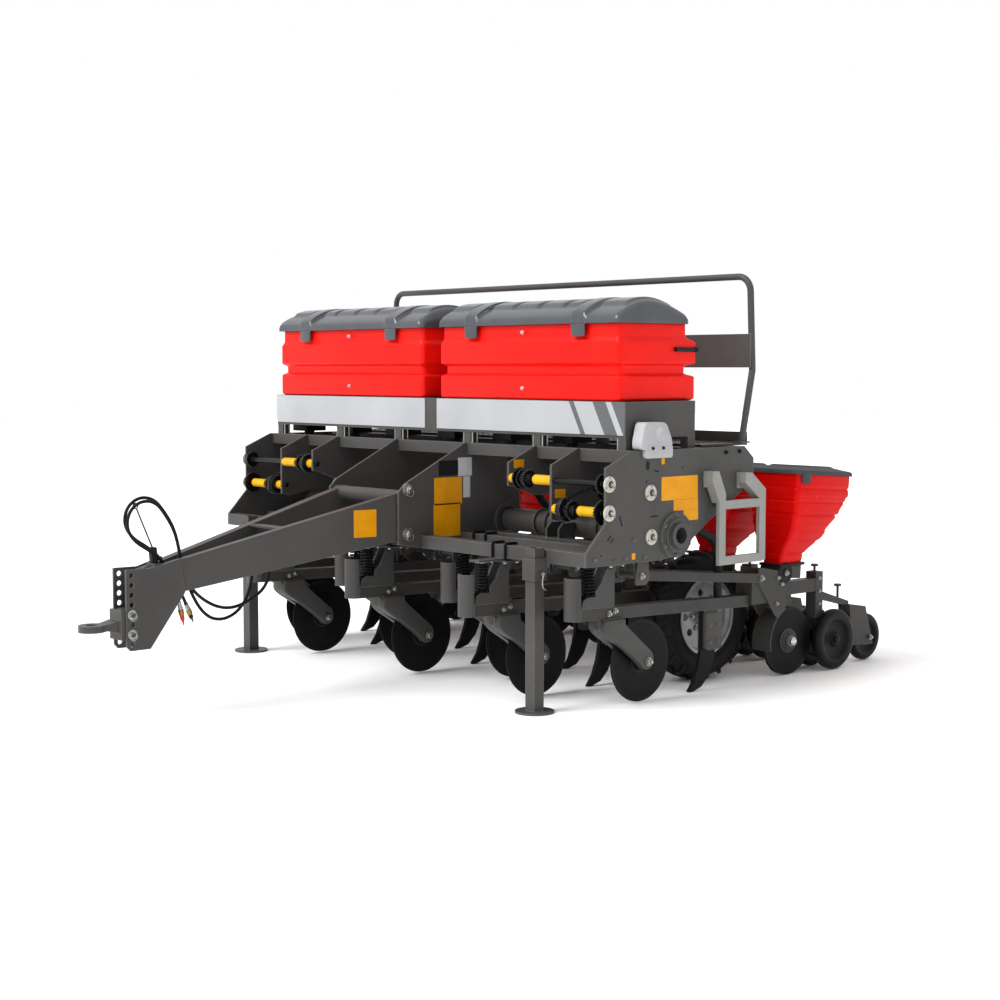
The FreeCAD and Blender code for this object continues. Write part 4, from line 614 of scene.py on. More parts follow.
def lidRise(x, share):
    # height over the edge at x along the lid and share from its front to its rear
    x0, x1 = lidShape["ends"]
    fromEnd = min(x - x0, x1 - x)
    roll = math.sqrt(max(0.0, 1 - (1 - min(fromEnd / lidShape["endRoll"], 1.0)) ** 2.2))
    arch = math.sin(math.pi * share ** 0.9) ** 0.8 if 0 < share < 1 else 0.0
    rise = lidShape["crown"] * arch * (0.16 + 0.84 * roll)
    strap = max(smoothStep(50, 44, abs(x - c)) for c in strapCentres)
    panel = 0.0
    for low, high in lidPanels:
        acrossPanel = smoothStep(0, 9, min(x - low, high - x)) if low < x < high else 0.0
        panel = max(panel, acrossPanel * smoothStep(0.16, 0.22, share) * smoothStep(0.86, 0.8, share))
    return rise + max(strap * lidShape["strapRise"], panel * lidShape["panelRise"])


def lidSkin(side):
    (x0, x1), (y0, y1), low = lidShape["ends"], lidShape["faces"], lidShape["low"]
    across, deep, turn = lidShape["across"], lidShape["deep"], lidShape["turn"]
    wide = deep + 1                                  # vertices from front to rear

    def spot(u, v, z):
        # pulls the grid's corners in to a rounded plan
        x, y = x0 + (x1 - x0) * u, y0 + (y1 - y0) * v
        overX = max(x0 + turn - x, x - (x1 - turn), 0)
        overY = max(y0 + turn - y, y - (y1 - turn), 0)
        if overX > 0 and overY > 0:
            shrink = max(overX, overY) / math.hypot(overX, overY)
            x -= (overX * (1 - shrink)) * (1 if x > (x0 + x1) / 2 else -1)
            y -= (overY * (1 - shrink)) * (1 if y > (y0 + y1) / 2 else -1)
        return place(side * x, y, z)

    verts, faces = [], []
    for layer, inset in ((0, 0.0), (1, 0.004)):      # the outer skin, then the inner one
        for i in range(across + 1):
            for j in range(wide):
                u, v = i / across, 0.5 - 0.5 * math.cos(math.pi * j / deep)
                z = low + lidShape["edge"] + lidRise(x0 + (x1 - x0) * u, v) - layer * lidShape["skin"]
                z -= 0 if layer else 7 * (1 - smoothStep(0, 0.012, min(u, 1 - u, v, 1 - v)))
                verts.append(spot(u * (1 - 2 * inset) + inset, v * (1 - 4 * inset) + 2 * inset, z))
    count = (across + 1) * wide
    for layer in (0, 1):
        for i in range(across):
            for j in range(deep):
                a = layer * count + i * wide + j
                quad = (a, a + wide, a + wide + 1, a + 1)
                faces.append(quad[::-1] if layer else quad)
    rim = ([i * wide for i in range(across + 1)] + [across * wide + j for j in range(1, wide)]
           + [i * wide + deep for i in range(across - 1, -1, -1)] + list(range(deep - 1, 0, -1)))
    base, lowInner = len(verts), len(verts) + len(rim)
    for shift in (0, count):                         # both skins' rims, brought down to the edge
        verts += [Vector((verts[shift + i].x, verts[shift + i].y, low / 1000)) for i in rim]
    for k, here in enumerate(rim):
        m = (k + 1) % len(rim)
        ahead = rim[m]
        faces += [(ahead, here, base + k, base + m), (base + m, base + k, lowInner + k, lowInner + m),
                  (lowInner + m, lowInner + k, count + here, count + ahead)]
    return verts, faces


# height, front, rear and half width of each strap's tail, from the hooked lip on the bin's front upwards
strapTail = ((1782, 302, 312, 40), (1784, 300, 313, 45), (1800, 302, 312, 47), (1846, 302, 312, 47),
             (1862, 303, 314, 47), (1872, 306, 318, 46))
knuckleFoot = ((802, 1847), (813, 1847), (813, 1857), (802, 1857))
for side, word in sides:
    parts = [lidSkin(side)]
    for c in strapCentres:
        parts.append(skinOver([[place(side * x, y, z) for x, y in roundedLoop(c - half, c + half, y0, y1, 3.5, 3)]
                               for z, y0, y1, half in strapTail]))
    for x in hinges["places"]:
        parts.append(spun(place(side * x - 13, hinges["y"], hinges["z"]), 1,
                          [(0, 4.2), (0, 8), (26, 8), (26, 4.2), (0, 4.2)], 16))
        parts.append(slab(knuckleFoot, (side * x - 13, side * x + 13)))
    lid = addPiece("binLid_" + word, parts, (lidMoulding, "grey_plastic"), 48, "lid_" + word)
    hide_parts("hopper_lid_" + word)
print("bins and lids moulded")

# half width, front, rear and height of the seed hopper's folds
seedSections = ((60, 1520, 1690, 600.3), (66, 1516, 1700, 640), (132, 1506, 1802, 790), (140, 1504, 1810, 800),
                (148, 1503, 1868, 870), (156, 1502, 1880, 880), (160, 1500, 1930, 960), (165, 1498, 1945, 975),
                (165, 1496, 1950, 1080))
seedMould = {"tiltDeg": -4, "pivot": (1520, 600), "steps": 120, "turnLow": 16, "turnHigh": 30,
             "grooveDeep": 4.6, "grooveHalf": 11, "groovePitch": 70, "grooveFrom": 655,
             "capHalf": 174, "capFaces": (1486, 1960), "catchX": 171, "catchY": 1552}
# how far the lid has drawn in, its height and corner radius: a turned-down rim, a crown and a moulded panel
capLevels = ((0, 1080.3, 30), (0, 1096, 31), (3, 1102, 32), (14, 1106, 34), (40, 1112, 36), (74, 1121, 34),
             (82, 1127, 30), (88, 1128.3, 26))


def tilted(loop, z, centre):
    tilt, (pivotY, pivotZ) = math.radians(seedMould["tiltDeg"]), seedMould["pivot"]
    c, s, dz = math.cos(tilt), math.sin(tilt), z - pivotZ
    return [place(centre + x, pivotY + (y - pivotY) * c - dz * s, pivotZ + (y - pivotY) * s + dz * c) for x, y in loop]


def seedBin(centre):
    levels = [(z, half, y0, y1) for half, y0, y1, z in seedSections]
    low, high, steps = levels[0][0], levels[-1][0], seedMould["steps"]
    loops = []
    for i in range(steps + 1):
        z = low + (high - low) * i / steps
        half, y0, y1 = levelAt(levels, z)
        offGroove = abs((z - low - 25) % seedMould["groovePitch"] - seedMould["groovePitch"] / 2)
        rib = seedMould["grooveDeep"] * max(0.0, 1 - offGroove / seedMould["grooveHalf"])
        if not seedMould["grooveFrom"] < z < high - 20:
            rib = 0
        turn = seedMould["turnLow"] + (seedMould["turnHigh"] - seedMould["turnLow"]) * i / steps
        loops.append(tilted(roundedLoop(-half + rib, half - rib, y0 + rib, y1 - rib, turn, 4), z, centre))
    return skinOver(loops)


def seedCap(centre):
    half, (y0, y1), y = seedMould["capHalf"], seedMould["capFaces"], seedMould["catchY"]
    yield skinOver([tilted(roundedLoop(-half + grow, half - grow, y0 + grow, y1 - grow, turn, 5), z, centre)
                    for grow, z, turn in capLevels])
    for x in (seedMould["catchX"], -seedMould["catchX"]):
        yield skinOver([tilted(roundedLoop(x - 5, x + 5, y - wide, y + wide, 2.5, 2), z, centre)
                        for z, wide in ((1036, 30), (1040, 34), (1090, 35))])


# the seed hoppers take the darker red that paints the shade on their flanks
seedBins = addPiece("seedBins", [seedBin(x) for x in rowXs], (shadeDarkenedRedMoulding, "red_plastic"), 40)
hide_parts("seed_hoppers")
capParts = [part for x in rowXs for part in seedCap(x)]
seedCaps = addPiece("seedCaps", capParts, (seedLidMoulding, "grey_plastic"), 40)
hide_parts("seed_lids")
print("seed hoppers moulded")

springShape = {"radius": 30, "wire": 5.4, "turns": 8.5, "perTurn": 22, "around": 8, "back": -120, "top": 700}


def rowFloor(datum, y):
    # the row beam's underside falls from its front to its rear
    front = datum - 206
    return 441 + (400 - 441) * (y - front) / (1296 - front)


def coilFor(x, datum):
    wire, y = springShape["wire"], datum + springShape["back"]
    low, high = rowFloor(datum, y) + 58 + 60, springShape["top"]
    steps = int(springShape["turns"] * springShape["perTurn"])
    loops = []
    for i in range(steps + 1):
        share = i / steps
        flat = smoothStep(0, 0.08, share) * smoothStep(1, 0.92, share)      # the end turns lie flat
        eased = share * flat if share < 0.5 else 1 - (1 - share) * flat
        z = low + wire + (high - low - 2 * wire) * (share if flat >= 1 else eased)
        angle = 2 * math.pi * springShape["turns"] * share
        out = Vector((math.cos(angle), math.sin(angle), 0))
        spot = place(x, y, z) + out * springShape["radius"] / 1000
        loops.append([spot + out * (wire / 1000 * c) + Vector((0, 0, wire / 1000 * s))
                      for c, s in circle(springShape["around"])])
    return skinOver(loops)


def springRod(x, datum):
    y = datum + springShape["back"]
    seat = rowFloor(datum, y) + 58
    tall = springShape["top"] - seat
    profile = [(0, 0.1), (0, 11), (54, 11), (54, 34), (60, 34), (60, 20), (74, 17), (74, 11), (tall - 14, 11),
               (tall - 14, 17), (tall - 8, 32), (tall, 32), (tall, 0.1)]
    return spun(place(x, y, seat), zWay, profile, 20)


capTop = springShape["top"] - 0.6
springCap = [(0, 0.1), (0, 33), (3.4, 33), (3.4, 19), (9, 17), (9, 0.1)]
coils = addPiece("pressureCoils", [coilFor(*row) for row in rows], black)
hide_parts("pressure_springs")
addPiece("springRods", [springRod(*row) for row in rows], black, 35)
addPiece("springTopPlates", [spun(place(x, d + springShape["back"], capTop), (0, 0, -1), springCap, 24)
                             for x, d in rows], zinc, 35)
print("springs coiled")

sideX = 1495                                        # outer faces of the side plates
coulterHub = (245, 206)                             # behind the row's datum, and height
gaugeAxle, pressAxle, groundAxle = (1957, 166), (2330, 133), (1190, 340)        # behind the front bar, and height


def ringSpots(side, x, y, z, radius, count, size, start=0.0):
    # bolts in a ring round an axis across the machine
    return [(place(side * x, y + radius * c, z + radius * s), (side, 0, 0), size) for c, s in circle(count, start)]


def onSides(side, x, spots, size, centre=0):
    # bolts that face away from a centre, at (y, z) spots
    return [(place(centre + side * x, y, z), (side, 0, 0), size) for y, z in spots]


drawbarBolts = ((-85, 1014), (-86, 788))            # at its rear end
boltSpots, paintedSpots, darkSpots = [], [], []
for side in (1, -1):
    darkSpots += onSides(side, sideX, ((974, 1213), (1076, 1215)), 0.9)
    reach = sideX if side < 0 else sideX + 10       # on the right they sit on the ladder's top plates
    darkSpots += onSides(side, reach, ((832, 1110), (832, 1070), (1081, 1094), (1081, 1054)), 0.9)
    paintedSpots += onSides(side, sideX, ((60, 742), (262, 738), (392, 735), (318, 819), (560, 728)), 0.8)
    paintedSpots += ringSpots(side, sideX + 12, 604, 825, 96, 6, 0.85, 0.5)     # the lift tube's bearing
    boltSpots += onSides(side, 295, drawbarBolts, 2.1)
for x, d in rows:
    for side in (1, -1):
        boltSpots += onSides(side, 35, [(d + a, rowFloor(d, d + a) + 29 + a * 0.3) for a in (-6, 34)], 1.2, x)
        paintedSpots += onSides(side, 28, ((d + 728, 246), (d + 790, 246), (d + 728, 330), (d + 790, 330)), 0.9, x)
        boltSpots += onSides(side, 58.4, ((d + coulterHub[0], coulterHub[1]),), 1.7, x)
        boltSpots += onSides(side, 80.5, ((440, 632),), 1.3, x) + onSides(side, 72, ((1348, 545),), 1.3, x)
        boltSpots += onSides(side, 62, ((1500, 535), (1530, 500), (1488, 400)), 0.9, x)
        boltSpots += onSides(side, 34, ((1884, 500), (1884, 430), (1884, 360)), 0.8, x)
        boltSpots += onSides(side, 48, (pressAxle,), 1.2, x)
bolts("frameBolts", boltSpots)
bolts("darkBolts", darkSpots, black)
bolts("paintedBolts", paintedSpots, charcoal)

# Cream cast bearings on the side plates, each with a dark seal and a bolt in the shaft's end
bearingShape = {"places": ((148, 1090), (148, 955), (428, 1038), (435, 826)), "segments": 40, "boltRing": 31.5}
housing = [(0, 13), (0, 38), (5.5, 38), (7.4, 35.5), (8, 27), (6.2, 25.4), (6.2, 21), (10.6, 20), (12, 18), (12, 13)]
seal = [(9, 18.1), (12.4, 17), (12.4, 14), (14.6, 13.4), (15.2, 0.1)]
housings, seals, shaftSpots = [], [], []
for side in (1, -1):
    for y, z in bearingShape["places"]:
        seat = place(side * (sideX + 0.1), y, z)
        housings.append(spun(seat, side, housing, bearingShape["segments"]))
        seals.append(spun(seat, side, seal, bearingShape["segments"]))
        shaftSpots += onSides(side, sideX + 15, ((y, z),), 0.8)
        shaftSpots += ringSpots(side, sideX + 8, y, z, bearingShape["boltRing"], 3, 0.42, 0.75)
addPiece("shaftBearings", housings, (creamCasting, "pale_plastic"), 35)
addPiece("bearingSeals", seals, oiled, 35)
bolts("shaftEndBolts", shaftSpots)
bolts("binScrews", [(place(side * 719, 317, z), (0, -1, 0), 0.8) for side in (1, -1) for z in (1807, 1528)],
      (whiteLabel, "zinc_plate"))
print("bolts set:", len(boltSpots) + len(shaftSpots))

# Bent round bar: black U-bolts that clamp the row hangers, zinc ones at the hopper posts
clampShape = {"bar": 6.5, "apart": 46, "bend": 12, "foot": 677, "top": 775}
clamps, pads, clampNuts = [], [], []
for x, d in rows:
    for side in (1, -1):
        cx, lead = x + side * clampShape["apart"], clampShape["bar"] + 0.4
        foot, top = clampShape["foot"], clampShape["top"] + lead
        front, rear = d - lead, d + 65 + lead
        path = [place(cx, y, z) for y, z in ((front, foot), (front, top), (rear, top), (rear, foot))]
        clamps.append(tubeAlong(rounded(path, clampShape["bend"]), clampShape["bar"], 10))
        clampNuts += [(place(cx, y, 691), (0, 0, -1), 0.8) for y in (d - 6.9, d + 71.9)]
    pads.append(skinOver([[place(a, b, z) for a, b in roundedLoop(x - 60, x + 60, d - 18, d + 83, 8, 3)]
                          for z in (691.5, 699.4)]))
addPiece("rowClamps", clamps, black, 50)
addPiece("clampPads", pads, charcoal, 50)
bolts("clampNuts", clampNuts)

postShape = {"xs": (787, 853, 256, 322, 1375), "ys": (330, 362), "foot": 1240.2, "top": 1296, "bar": 5}
spots = [(side * x, y) for side in (1, -1) for x in postShape["xs"] for y in postShape["ys"]]
foot, top = postShape["foot"], postShape["top"]
postRods = [tubeAlong([place(x, y, foot), place(x, y, top)], postShape["bar"], 10) for x, y in spots]
postNuts = [(place(x, y, foot + 0.1), zWay, 0.6) for x, y in spots]
addPiece("postRods", postRods, zinc, 50)
bolts("postNuts", postNuts)

# Locking pins of the jacks: a headed pin either side of the sleeve and a wire handle
jackPin = [(0, 0.1), (0, 9), (14, 9), (15, 12), (20, 12), (21, 10), (21, 0.1)]
wireHandle = ((0.012, -0.006, -0.002), (0.016, -0.02, -0.03), (0.016, -0.016, -0.062), (0.014, 0.008, -0.074))
pinParts = []
for side in (1, -1):
    for way in (1, -1):
        pinParts.append(spun(place(side * 1197 + way * 41.6, -45, 664), way, jackPin, 20))
    start = place(side * 1197 + 56, -45, 664)
    pinParts.append(tubeAlong(rounded([start] + [start + Vector(step) for step in wireHandle], 14), 3, 8))
addPiece("jackPins", pinParts, zinc, 40)


def hoop(x, y, z, radius, wire, count):
    # a wire ring that stands in the machine's lengthwise plane
    return tubeAlong([place(x, y + radius * c, z + radius * s) for c, s in circle(count, closed=True)], wire, 8)


# Spring rings through the drawbar's rear pins, over broad washers, and through the hitch pins
ringParts = []
for side in (1, -1):
    for y, z in drawbarBolts:
        washer = [(0, 0.1), (0, 33), (3.4, 33), (4, 32), (4, 0.1)]
        ringParts += [spun(place(side * 295.2, y, z), side, washer, 32), hoop(side * 318, y, z - 14, 21, 1.8, 24)]
for side in (1, -1):
    for z in (488, 396):
        seat = place(side * 62.2, -1537, z)
        ringParts += [spun(seat, side, [(0, 13.2), (0, 24), (3, 24), (3.6, 23), (3.6, 13.2)], 28),
                      spun(seat, side, [(0, 0.1), (0, 12.6), (9, 12.6), (11, 10.6), (11, 0.1)], 24),
                      hoop(side * 75, -1537, z - 8, 19, 1.7, 20)]
addPiece("pinRings", ringParts, zinc, 40)

# Opener discs: a chromed cap, a cast hub with a ring of bolts and a worn bevel on every one
openerShape = {"toeDeg": 4, "radius": 181, "y": 1640, "z": 184, "boltRing": 44}
openerCap = [(30, 27), (33.5, 27), (34.5, 23.4), (48.4, 23.2), (52, 20), (54, 12), (54.6, 0.1)]
openerBevel = [(4.05, 168), (4.3, 170), (3.2, 180.6), (0.6, 181.2)]
openerHub = [(4.05, 66), (9, 65), (11, 62), (13, 56), (20, 54), (22, 51), (24, 44.4), (30, 43), (33, 38), (34, 26),
             (34, 0.1)]
caps, bevels, hubs, hubSpots = [], [], [], []
toe, up = math.radians(openerShape["toeDeg"]), Vector(zWay)
for x in rowXs:
    for side in (1, -1):
        axis = Vector((side * math.cos(toe), -math.sin(toe), 0))
        base = place(x + side * (openerShape["radius"] * math.sin(toe) + 1.5), openerShape["y"], openerShape["z"])
        for parts, profile, segments in ((caps, openerCap, 32), (bevels, openerBevel, 90), (hubs, openerHub, 40)):
            parts.append(spun(base, axis, profile, segments))
        for c, s in circle(6, 0.25):
            out = axis.cross(up) * c + up * s
            hubSpots.append((base + axis * 0.0205 + out * openerShape["boltRing"] / 1000, tuple(axis), 0.62))
addPiece("openerCaps", caps, chrome, 40)
addPiece("openerBevels", bevels, worn, 30)
addPiece("openerHubs", hubs, unit, 35)
bolts("openerBolts", hubSpots, oiled, flange=0.0108)

# Coulter discs turn with their own bevel and a castle nut's washer
coulterBevel = [(3.05, 190), (3.3, 192), (2.2, 199), (0.6, 203), (0.2, 203.2)]
coulterWasher = [(3.05, 46.5), (4.4, 49), (4.4, 60), (3.05, 63)]
for k, (x, d) in enumerate(rows, 1):
    hub = place(x, d + coulterHub[0], coulterHub[1])
    rims = [spun(hub, side, profile, segments) for side in (1, -1)
            for profile, segments in ((coulterBevel, 96), (coulterWasher, 64))]
    addPiece("coulterBevel_%d" % k, rims, worn, 30, "coulter_%d" % k)


def mirrored(half, last):
    # the profile of a ring alike on both sides, from half of it, back to its first point
    return half + [(-along, radius) for along, radius in half[::-1]] + last


# Small wheels: a rounded band of rubber on a dished web, in place of the plain ones
gaugeBand = mirrored([(-26, 112), (-26, 146), (-23, 155), (-16, 161.2), (-6, 163)],
                     [(24, 107), (18, 104), (-18, 104), (-24, 107), (-26, 112)])
gaugeWeb = [(-53, 14.4), (-53, 34), (-51, 36), (-12, 36), (-9, 40), (-8, 50), (-8, 88), (-13, 98), (-20, 104.5),
            (-24, 107.2), (24, 107.2), (20, 104.5), (13, 98), (8, 88), (8, 50), (9, 42), (14, 37), (20, 34), (22, 31),
            (22, 14.4), (-53, 14.4)]
gaugeHub = [(0, 14), (74.3, 14), (74.3, 22), (83, 22), (84, 20), (84, 14), (85, 13), (86, 9), (86, 0.1)]
pressBand = mirrored([(-25, 92), (-25, 112), (-22, 122), (-14, 128.6), (-5, 130)], [(22, 86), (-22, 86), (-25, 92)])
pressWeb = mirrored([(-27, 12.2), (-27, 28), (-24, 30), (-10, 31), (-7, 36), (-7, 70), (-11, 78), (-20, 84), (-23, 88)],
                    [(-27, 12.2)])
wheelRubber = (bandRubber, "wheel_rubber")
for k, x in enumerate(rowXs, 1):
    bands, webs = [], []
    for side in (1, -1):
        centre = place(x + side * 74, *gaugeAxle)
        bands.append(spun(centre, side, gaugeBand, 72))
        webs += [spun(centre, side, gaugeWeb, 56), spun(place(x + side * 22, *gaugeAxle), side, gaugeHub, 24)]
    webs.append(spun(place(x - 22, *gaugeAxle), 1, [(0, 14), (44, 14)], 24))
    band = addPiece("gaugeBands_%d" % k, bands, wheelRubber, 40, "gauge_%d" % k)
    addPiece("gaugeWebs_%d" % k, webs, black, 40, "gauge_%d" % k)
    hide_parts("gauge_wheels_%d" % k)
    centre = place(x, *pressAxle)
    band = addPiece("pressBand_%d" % k, [spun(centre, 1, pressBand, 64)], wheelRubber, 40, "press_%d" % k)
    addPiece("pressWeb_%d" % k, [spun(centre, 1, pressWeb, 48)], black, 40, "press_%d" % k)
    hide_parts("press_wheel_%d" % k)
print("small wheels turned")

# Ground wheels: a smooth carcass with slanting bars in turn left and right
tyreShape = {"x": 1125, "radius": 340, "half": 88, "tread": 320, "lugs": 20, "lean": 62, "thick": 14, "segments": 96}
carcass = mirrored([(-66, 205.4), (-72, 212), (-82, 226), (-87, 246), (-88, 262), (-87, 280), (-82, 296), (-72, 309),
                    (-56, 317), (-30, 320)], [(-66, 205.4)])
sidewallRings = ([(78, 221), (85, 224), (86, 227), (76, 230)], [(78, 283), (88.4, 286), (88.6, 289), (76, 292)])


def tyreBar(centre, side, turnDeg):
    # one tread bar with chamfered flanks, drawn over the top of the wheel and turned into its place
    half, tip, root = tyreShape["half"], tyreShape["radius"], tyreShape["tread"] - 20
    turned = Matrix.Rotation(math.radians(turnDeg), 3, "X")
    loops = []
    for share in (0.0, 0.12, 0.35, 0.6, 0.82, 0.95, 1.0):
        x = side * (-4 + (half - 2) * share)
        middle = tyreShape["lean"] * share ** 1.15
        drop = 16 * share ** 3 + {1.0: 14, 0.0: 4}.get(share, 0)
        thick = tyreShape["thick"] * (1.05 - 0.15 * share) * (0.8 if share in (0.0, 1.0) else 1.0)
        flank, top = tip - drop - 7, tip - drop - 0.6
        ring = []
        for y, z in ((-thick - 3, root), (-thick - 1, flank), (-thick + 3, top), (thick - 3, top), (thick + 1, flank),
                     (thick + 3, root)):
            bend = (middle + y) / tip
            ring.append(centre + (turned @ Vector((x, math.sin(bend) * z, math.cos(bend) * z))) / 1000)
        loops.append(ring)
    return skinOver(loops)


for side, word in sides:
    centre = place(side * tyreShape["x"], *groundAxle)
    parts = [spun(centre, 1, carcass, tyreShape["segments"])]
    parts += [spun(centre, way, ring, tyreShape["segments"]) for way in (1, -1) for ring in sidewallRings]
    step = 360 / tyreShape["lugs"]
    for i in range(tyreShape["lugs"]):
        parts += [tyreBar(centre, 1, (i + 0.5) * step), tyreBar(centre, -1, i * step)]
    tyre = addPiece("tyre_" + word + "_moulded", parts, (tyreRubber, "tyre_rubber"), 32, "wheel_" + word)
    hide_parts("tyre_" + word)
    bolts("wheelNuts_" + word, ringSpots(side, tyreShape["x"] + 23.2, *groundAxle, 74, 6, 1.35), body="wheel_" + word)
print("tyres moulded")

# Roller chains: link plates over both sides of each band
chainShape = {"pitchMm": 15.9, "radius": 52.8, "plateX": 1210.5, "from": (148, 955), "to": (428, 1038)}


def chainSpots():
    # places round the two sprockets, from the first one's centre, each plate turned along the chain
    (y0, z0), (y1, z1) = chainShape["from"], chainShape["to"]
    angle = math.atan2(z1 - z0, y1 - y0)
    span, radius = math.hypot(y1 - y0, z1 - z0), chainShape["radius"]
    half = span + math.pi * radius
    count = int(2 * half / chainShape["pitchMm"])
    along, up = Vector((0, math.cos(angle), math.sin(angle))), Vector((0, -math.sin(angle), math.cos(angle)))
    for i in range(count):
        d = 2 * half * (i + 0.5) / count
        if d < span:
            at, way = along * d + up * radius, along
        elif d < half:
            t = (d - span) / radius
            at = along * span + up * (radius * math.cos(t)) + along * (radius * math.sin(t))
            way = along * math.cos(t) - up * math.sin(t)
        elif d < half + span:
            at, way = along * (half + span - d) - up * radius, -along
        else:
            t = (d - half - span) / radius
            at = -up * (radius * math.cos(t)) - along * (radius * math.sin(t))
            way = up * math.sin(t) - along * math.cos(t)
        yield y0 + at.y, z0 + at.z, way, i % 2


plates, across = [], Vector((1, 0, 0))
for side in (1, -1):
    for y, z, way, odd in chainSpots():
        out = way.cross(across)
        for face in (1, -1):
            base = place(side * chainShape["plateX"], y, z) + across * (face * (0.0052 + 0.0016 * odd))
            outline = [base + way * (math.copysign(0.0062, c) + 0.0052 * c)
                       + out * ((0.0052 if abs(c) > 0.3 else 0.0042) * s) for c, s in circle(12)]
            plates.append(skinOver([[spot + across * (face * rise) for spot in outline] for rise in (0, 0.0014)]))
addPiece("chainPlates", plates, oiled, 0)

# Handle rod on brackets at the outer end of each bin
bracket = [(0, 0.1), (0, 15), (6, 15), (8, 11), (20, 11), (22, 9), (22, 0.1)]
handleParts = []
for side in (1, -1):
    handleParts.append(tubeAlong([place(side * 1402, 700, 1720), place(side * 1402, 842, 1720)], 11, 14))
    handleParts += [spun(place(side * 1384, y, 1720), side, bracket, 20) for y in (716, 800)]
    handleParts.append(spun(place(side * 1402, 840, 1720), yWay, [(0, 9), (1, 14), (16, 14), (19, 11), (19, 0.1)], 20))
addPiece("binHandles", handleParts, plastic, 40)

# Raised studs on the walkway between its slots
studShape = {"radius": 0.0085, "height": 0.0022, "acrossMm": 46, "alongMm": 42}
tree, groupIn = newTree("walkwayStud", {"Radius": 0.0085, "Height": 0.0022})
radius = groupIn.outputs["Radius"]
stud = addNode(tree, "GeometryNodeMeshCone", {
    "fill_type": "NGON", "Vertices": 10, "Radius Bottom": radius, "Depth": groupIn.outputs["Height"],
    "Radius Top": computed(tree, "MULTIPLY", radius, 0.6)}, "Mesh")
placedOnSpots(tree, groupIn, stud, framePaint)
pitch = (2 * 1432 - 120) / 23
studXs = [-1432 + 60 + (2 * i - 1) * pitch + j * studShape["acrossMm"] for i in range(13) for j in (-1, 0, 1)]
studs = [(place(x, y, 1252.05), zWay, 1.0, 0.0) for x in studXs if abs(x) < 1415
         for y in range(908, 1190, studShape["alongMm"])]
bakeTree(tree, studs, {"Radius": studShape["radius"], "Height": studShape["height"]}, "walkwayStuds", charcoal)

# Punched slots and holes of the side plates, drawn as flat dark sheets that paint the shade inside them (place, half
# sizes, lean), and the cover's two screws
punched = ((409, 1168, 13, 22, 0), (228, 913, 5, 26, 20), (150, 838, 4, 19, -45), (170, 826, 4, 15, -50),
           (457, 924, 4, 26, 90), (470, 1140, 4, 18, 80), (97, 762, 5, 5, 0), (177, 735, 5, 5, 0), (402, 1092, 4, 8, 0),
           (655, 1150, 5, 5, 0), (700, 850, 5, 5, 0))
slots = []
for side in (1, -1):
    for y, z, wide, high, lean in punched:
        c, s = math.cos(math.radians(lean)), math.sin(math.radians(lean))
        ring = roundedLoop(-wide, wide, -high, high, min(wide, high) * 0.98, 4)
        slots.append(skinOver([[place(side * (sideX + rise), y + a * c - b * s, z + a * s + b * c) for a, b in ring]
                               for rise in (0.1, 0.5)]))
# black sheets that paint the shade inside the punched holes
addPiece("plateSlotShadeSheets", slots, plastic, 0)
bolts("coverScrews", onSides(1, 1517.2, ((420, 1250), (492, 1250)), 0.7), plastic, flange=0.011)


def filleted(outline, radius):
    # a flat outline of (y, z) corners with every corner rounded
    spots = [Vector(spot) for spot in outline]
    corners = zip(spots[-1:] + spots[:-1], spots, spots[1:] + spots[:1])
    return [spot for before, corner, after in corners for spot in bent(before, corner, after, radius, 0.45, 4)]


def rolledRim(inner, outer, edge):
    # how far out each ring of a plate stands, and how much it has drawn in
    return [(inner, 0)] + [(outer - edge * back, edge * shrink) for back, shrink in
                           ((1, 0), (0.62, 0.08), (0.29, 0.29), (0.08, 0.62), (0, 1))]


def softSlab(outline, inner, outer, turn, edge):
    # an upright slab along X whose outer face rolls over towards its middle
    ring = filleted(outline, turn)
    middle = sum(ring, Vector((0, 0))) / len(ring)
    return skinOver([[place(x, *(spot + (middle - spot).normalized() * shrink)) for spot in ring]
                     for x, shrink in rolledRim(inner, outer, edge)])


def insetRing(ring, amount):
    # a closed ring of (y, z) spots moved inwards along its own normals
    after = ring[1:] + ring[:1]
    turn = 1 if sum(a.x * b.y - b.x * a.y for a, b in zip(ring, after)) > 0 else -1
    moved = []
    for before, spot, following in zip(ring[-1:] + ring[:-1], ring, after):
        along = (following - before).normalized()
        moved.append(spot + Vector((-along.y, along.x)) * turn * amount)
    return moved


def castPlate(outline, centre, side, inner, outer, turn, edge):
    # an upright plate beside a row's centre, its outer rim rolled over and its inner face plain
    ring = filleted(outline, turn)
    return skinOver([[place(centre + side * x, *spot) for spot in insetRing(ring, shrink)]
                     for x, shrink in rolledRim(inner, outer, edge)])


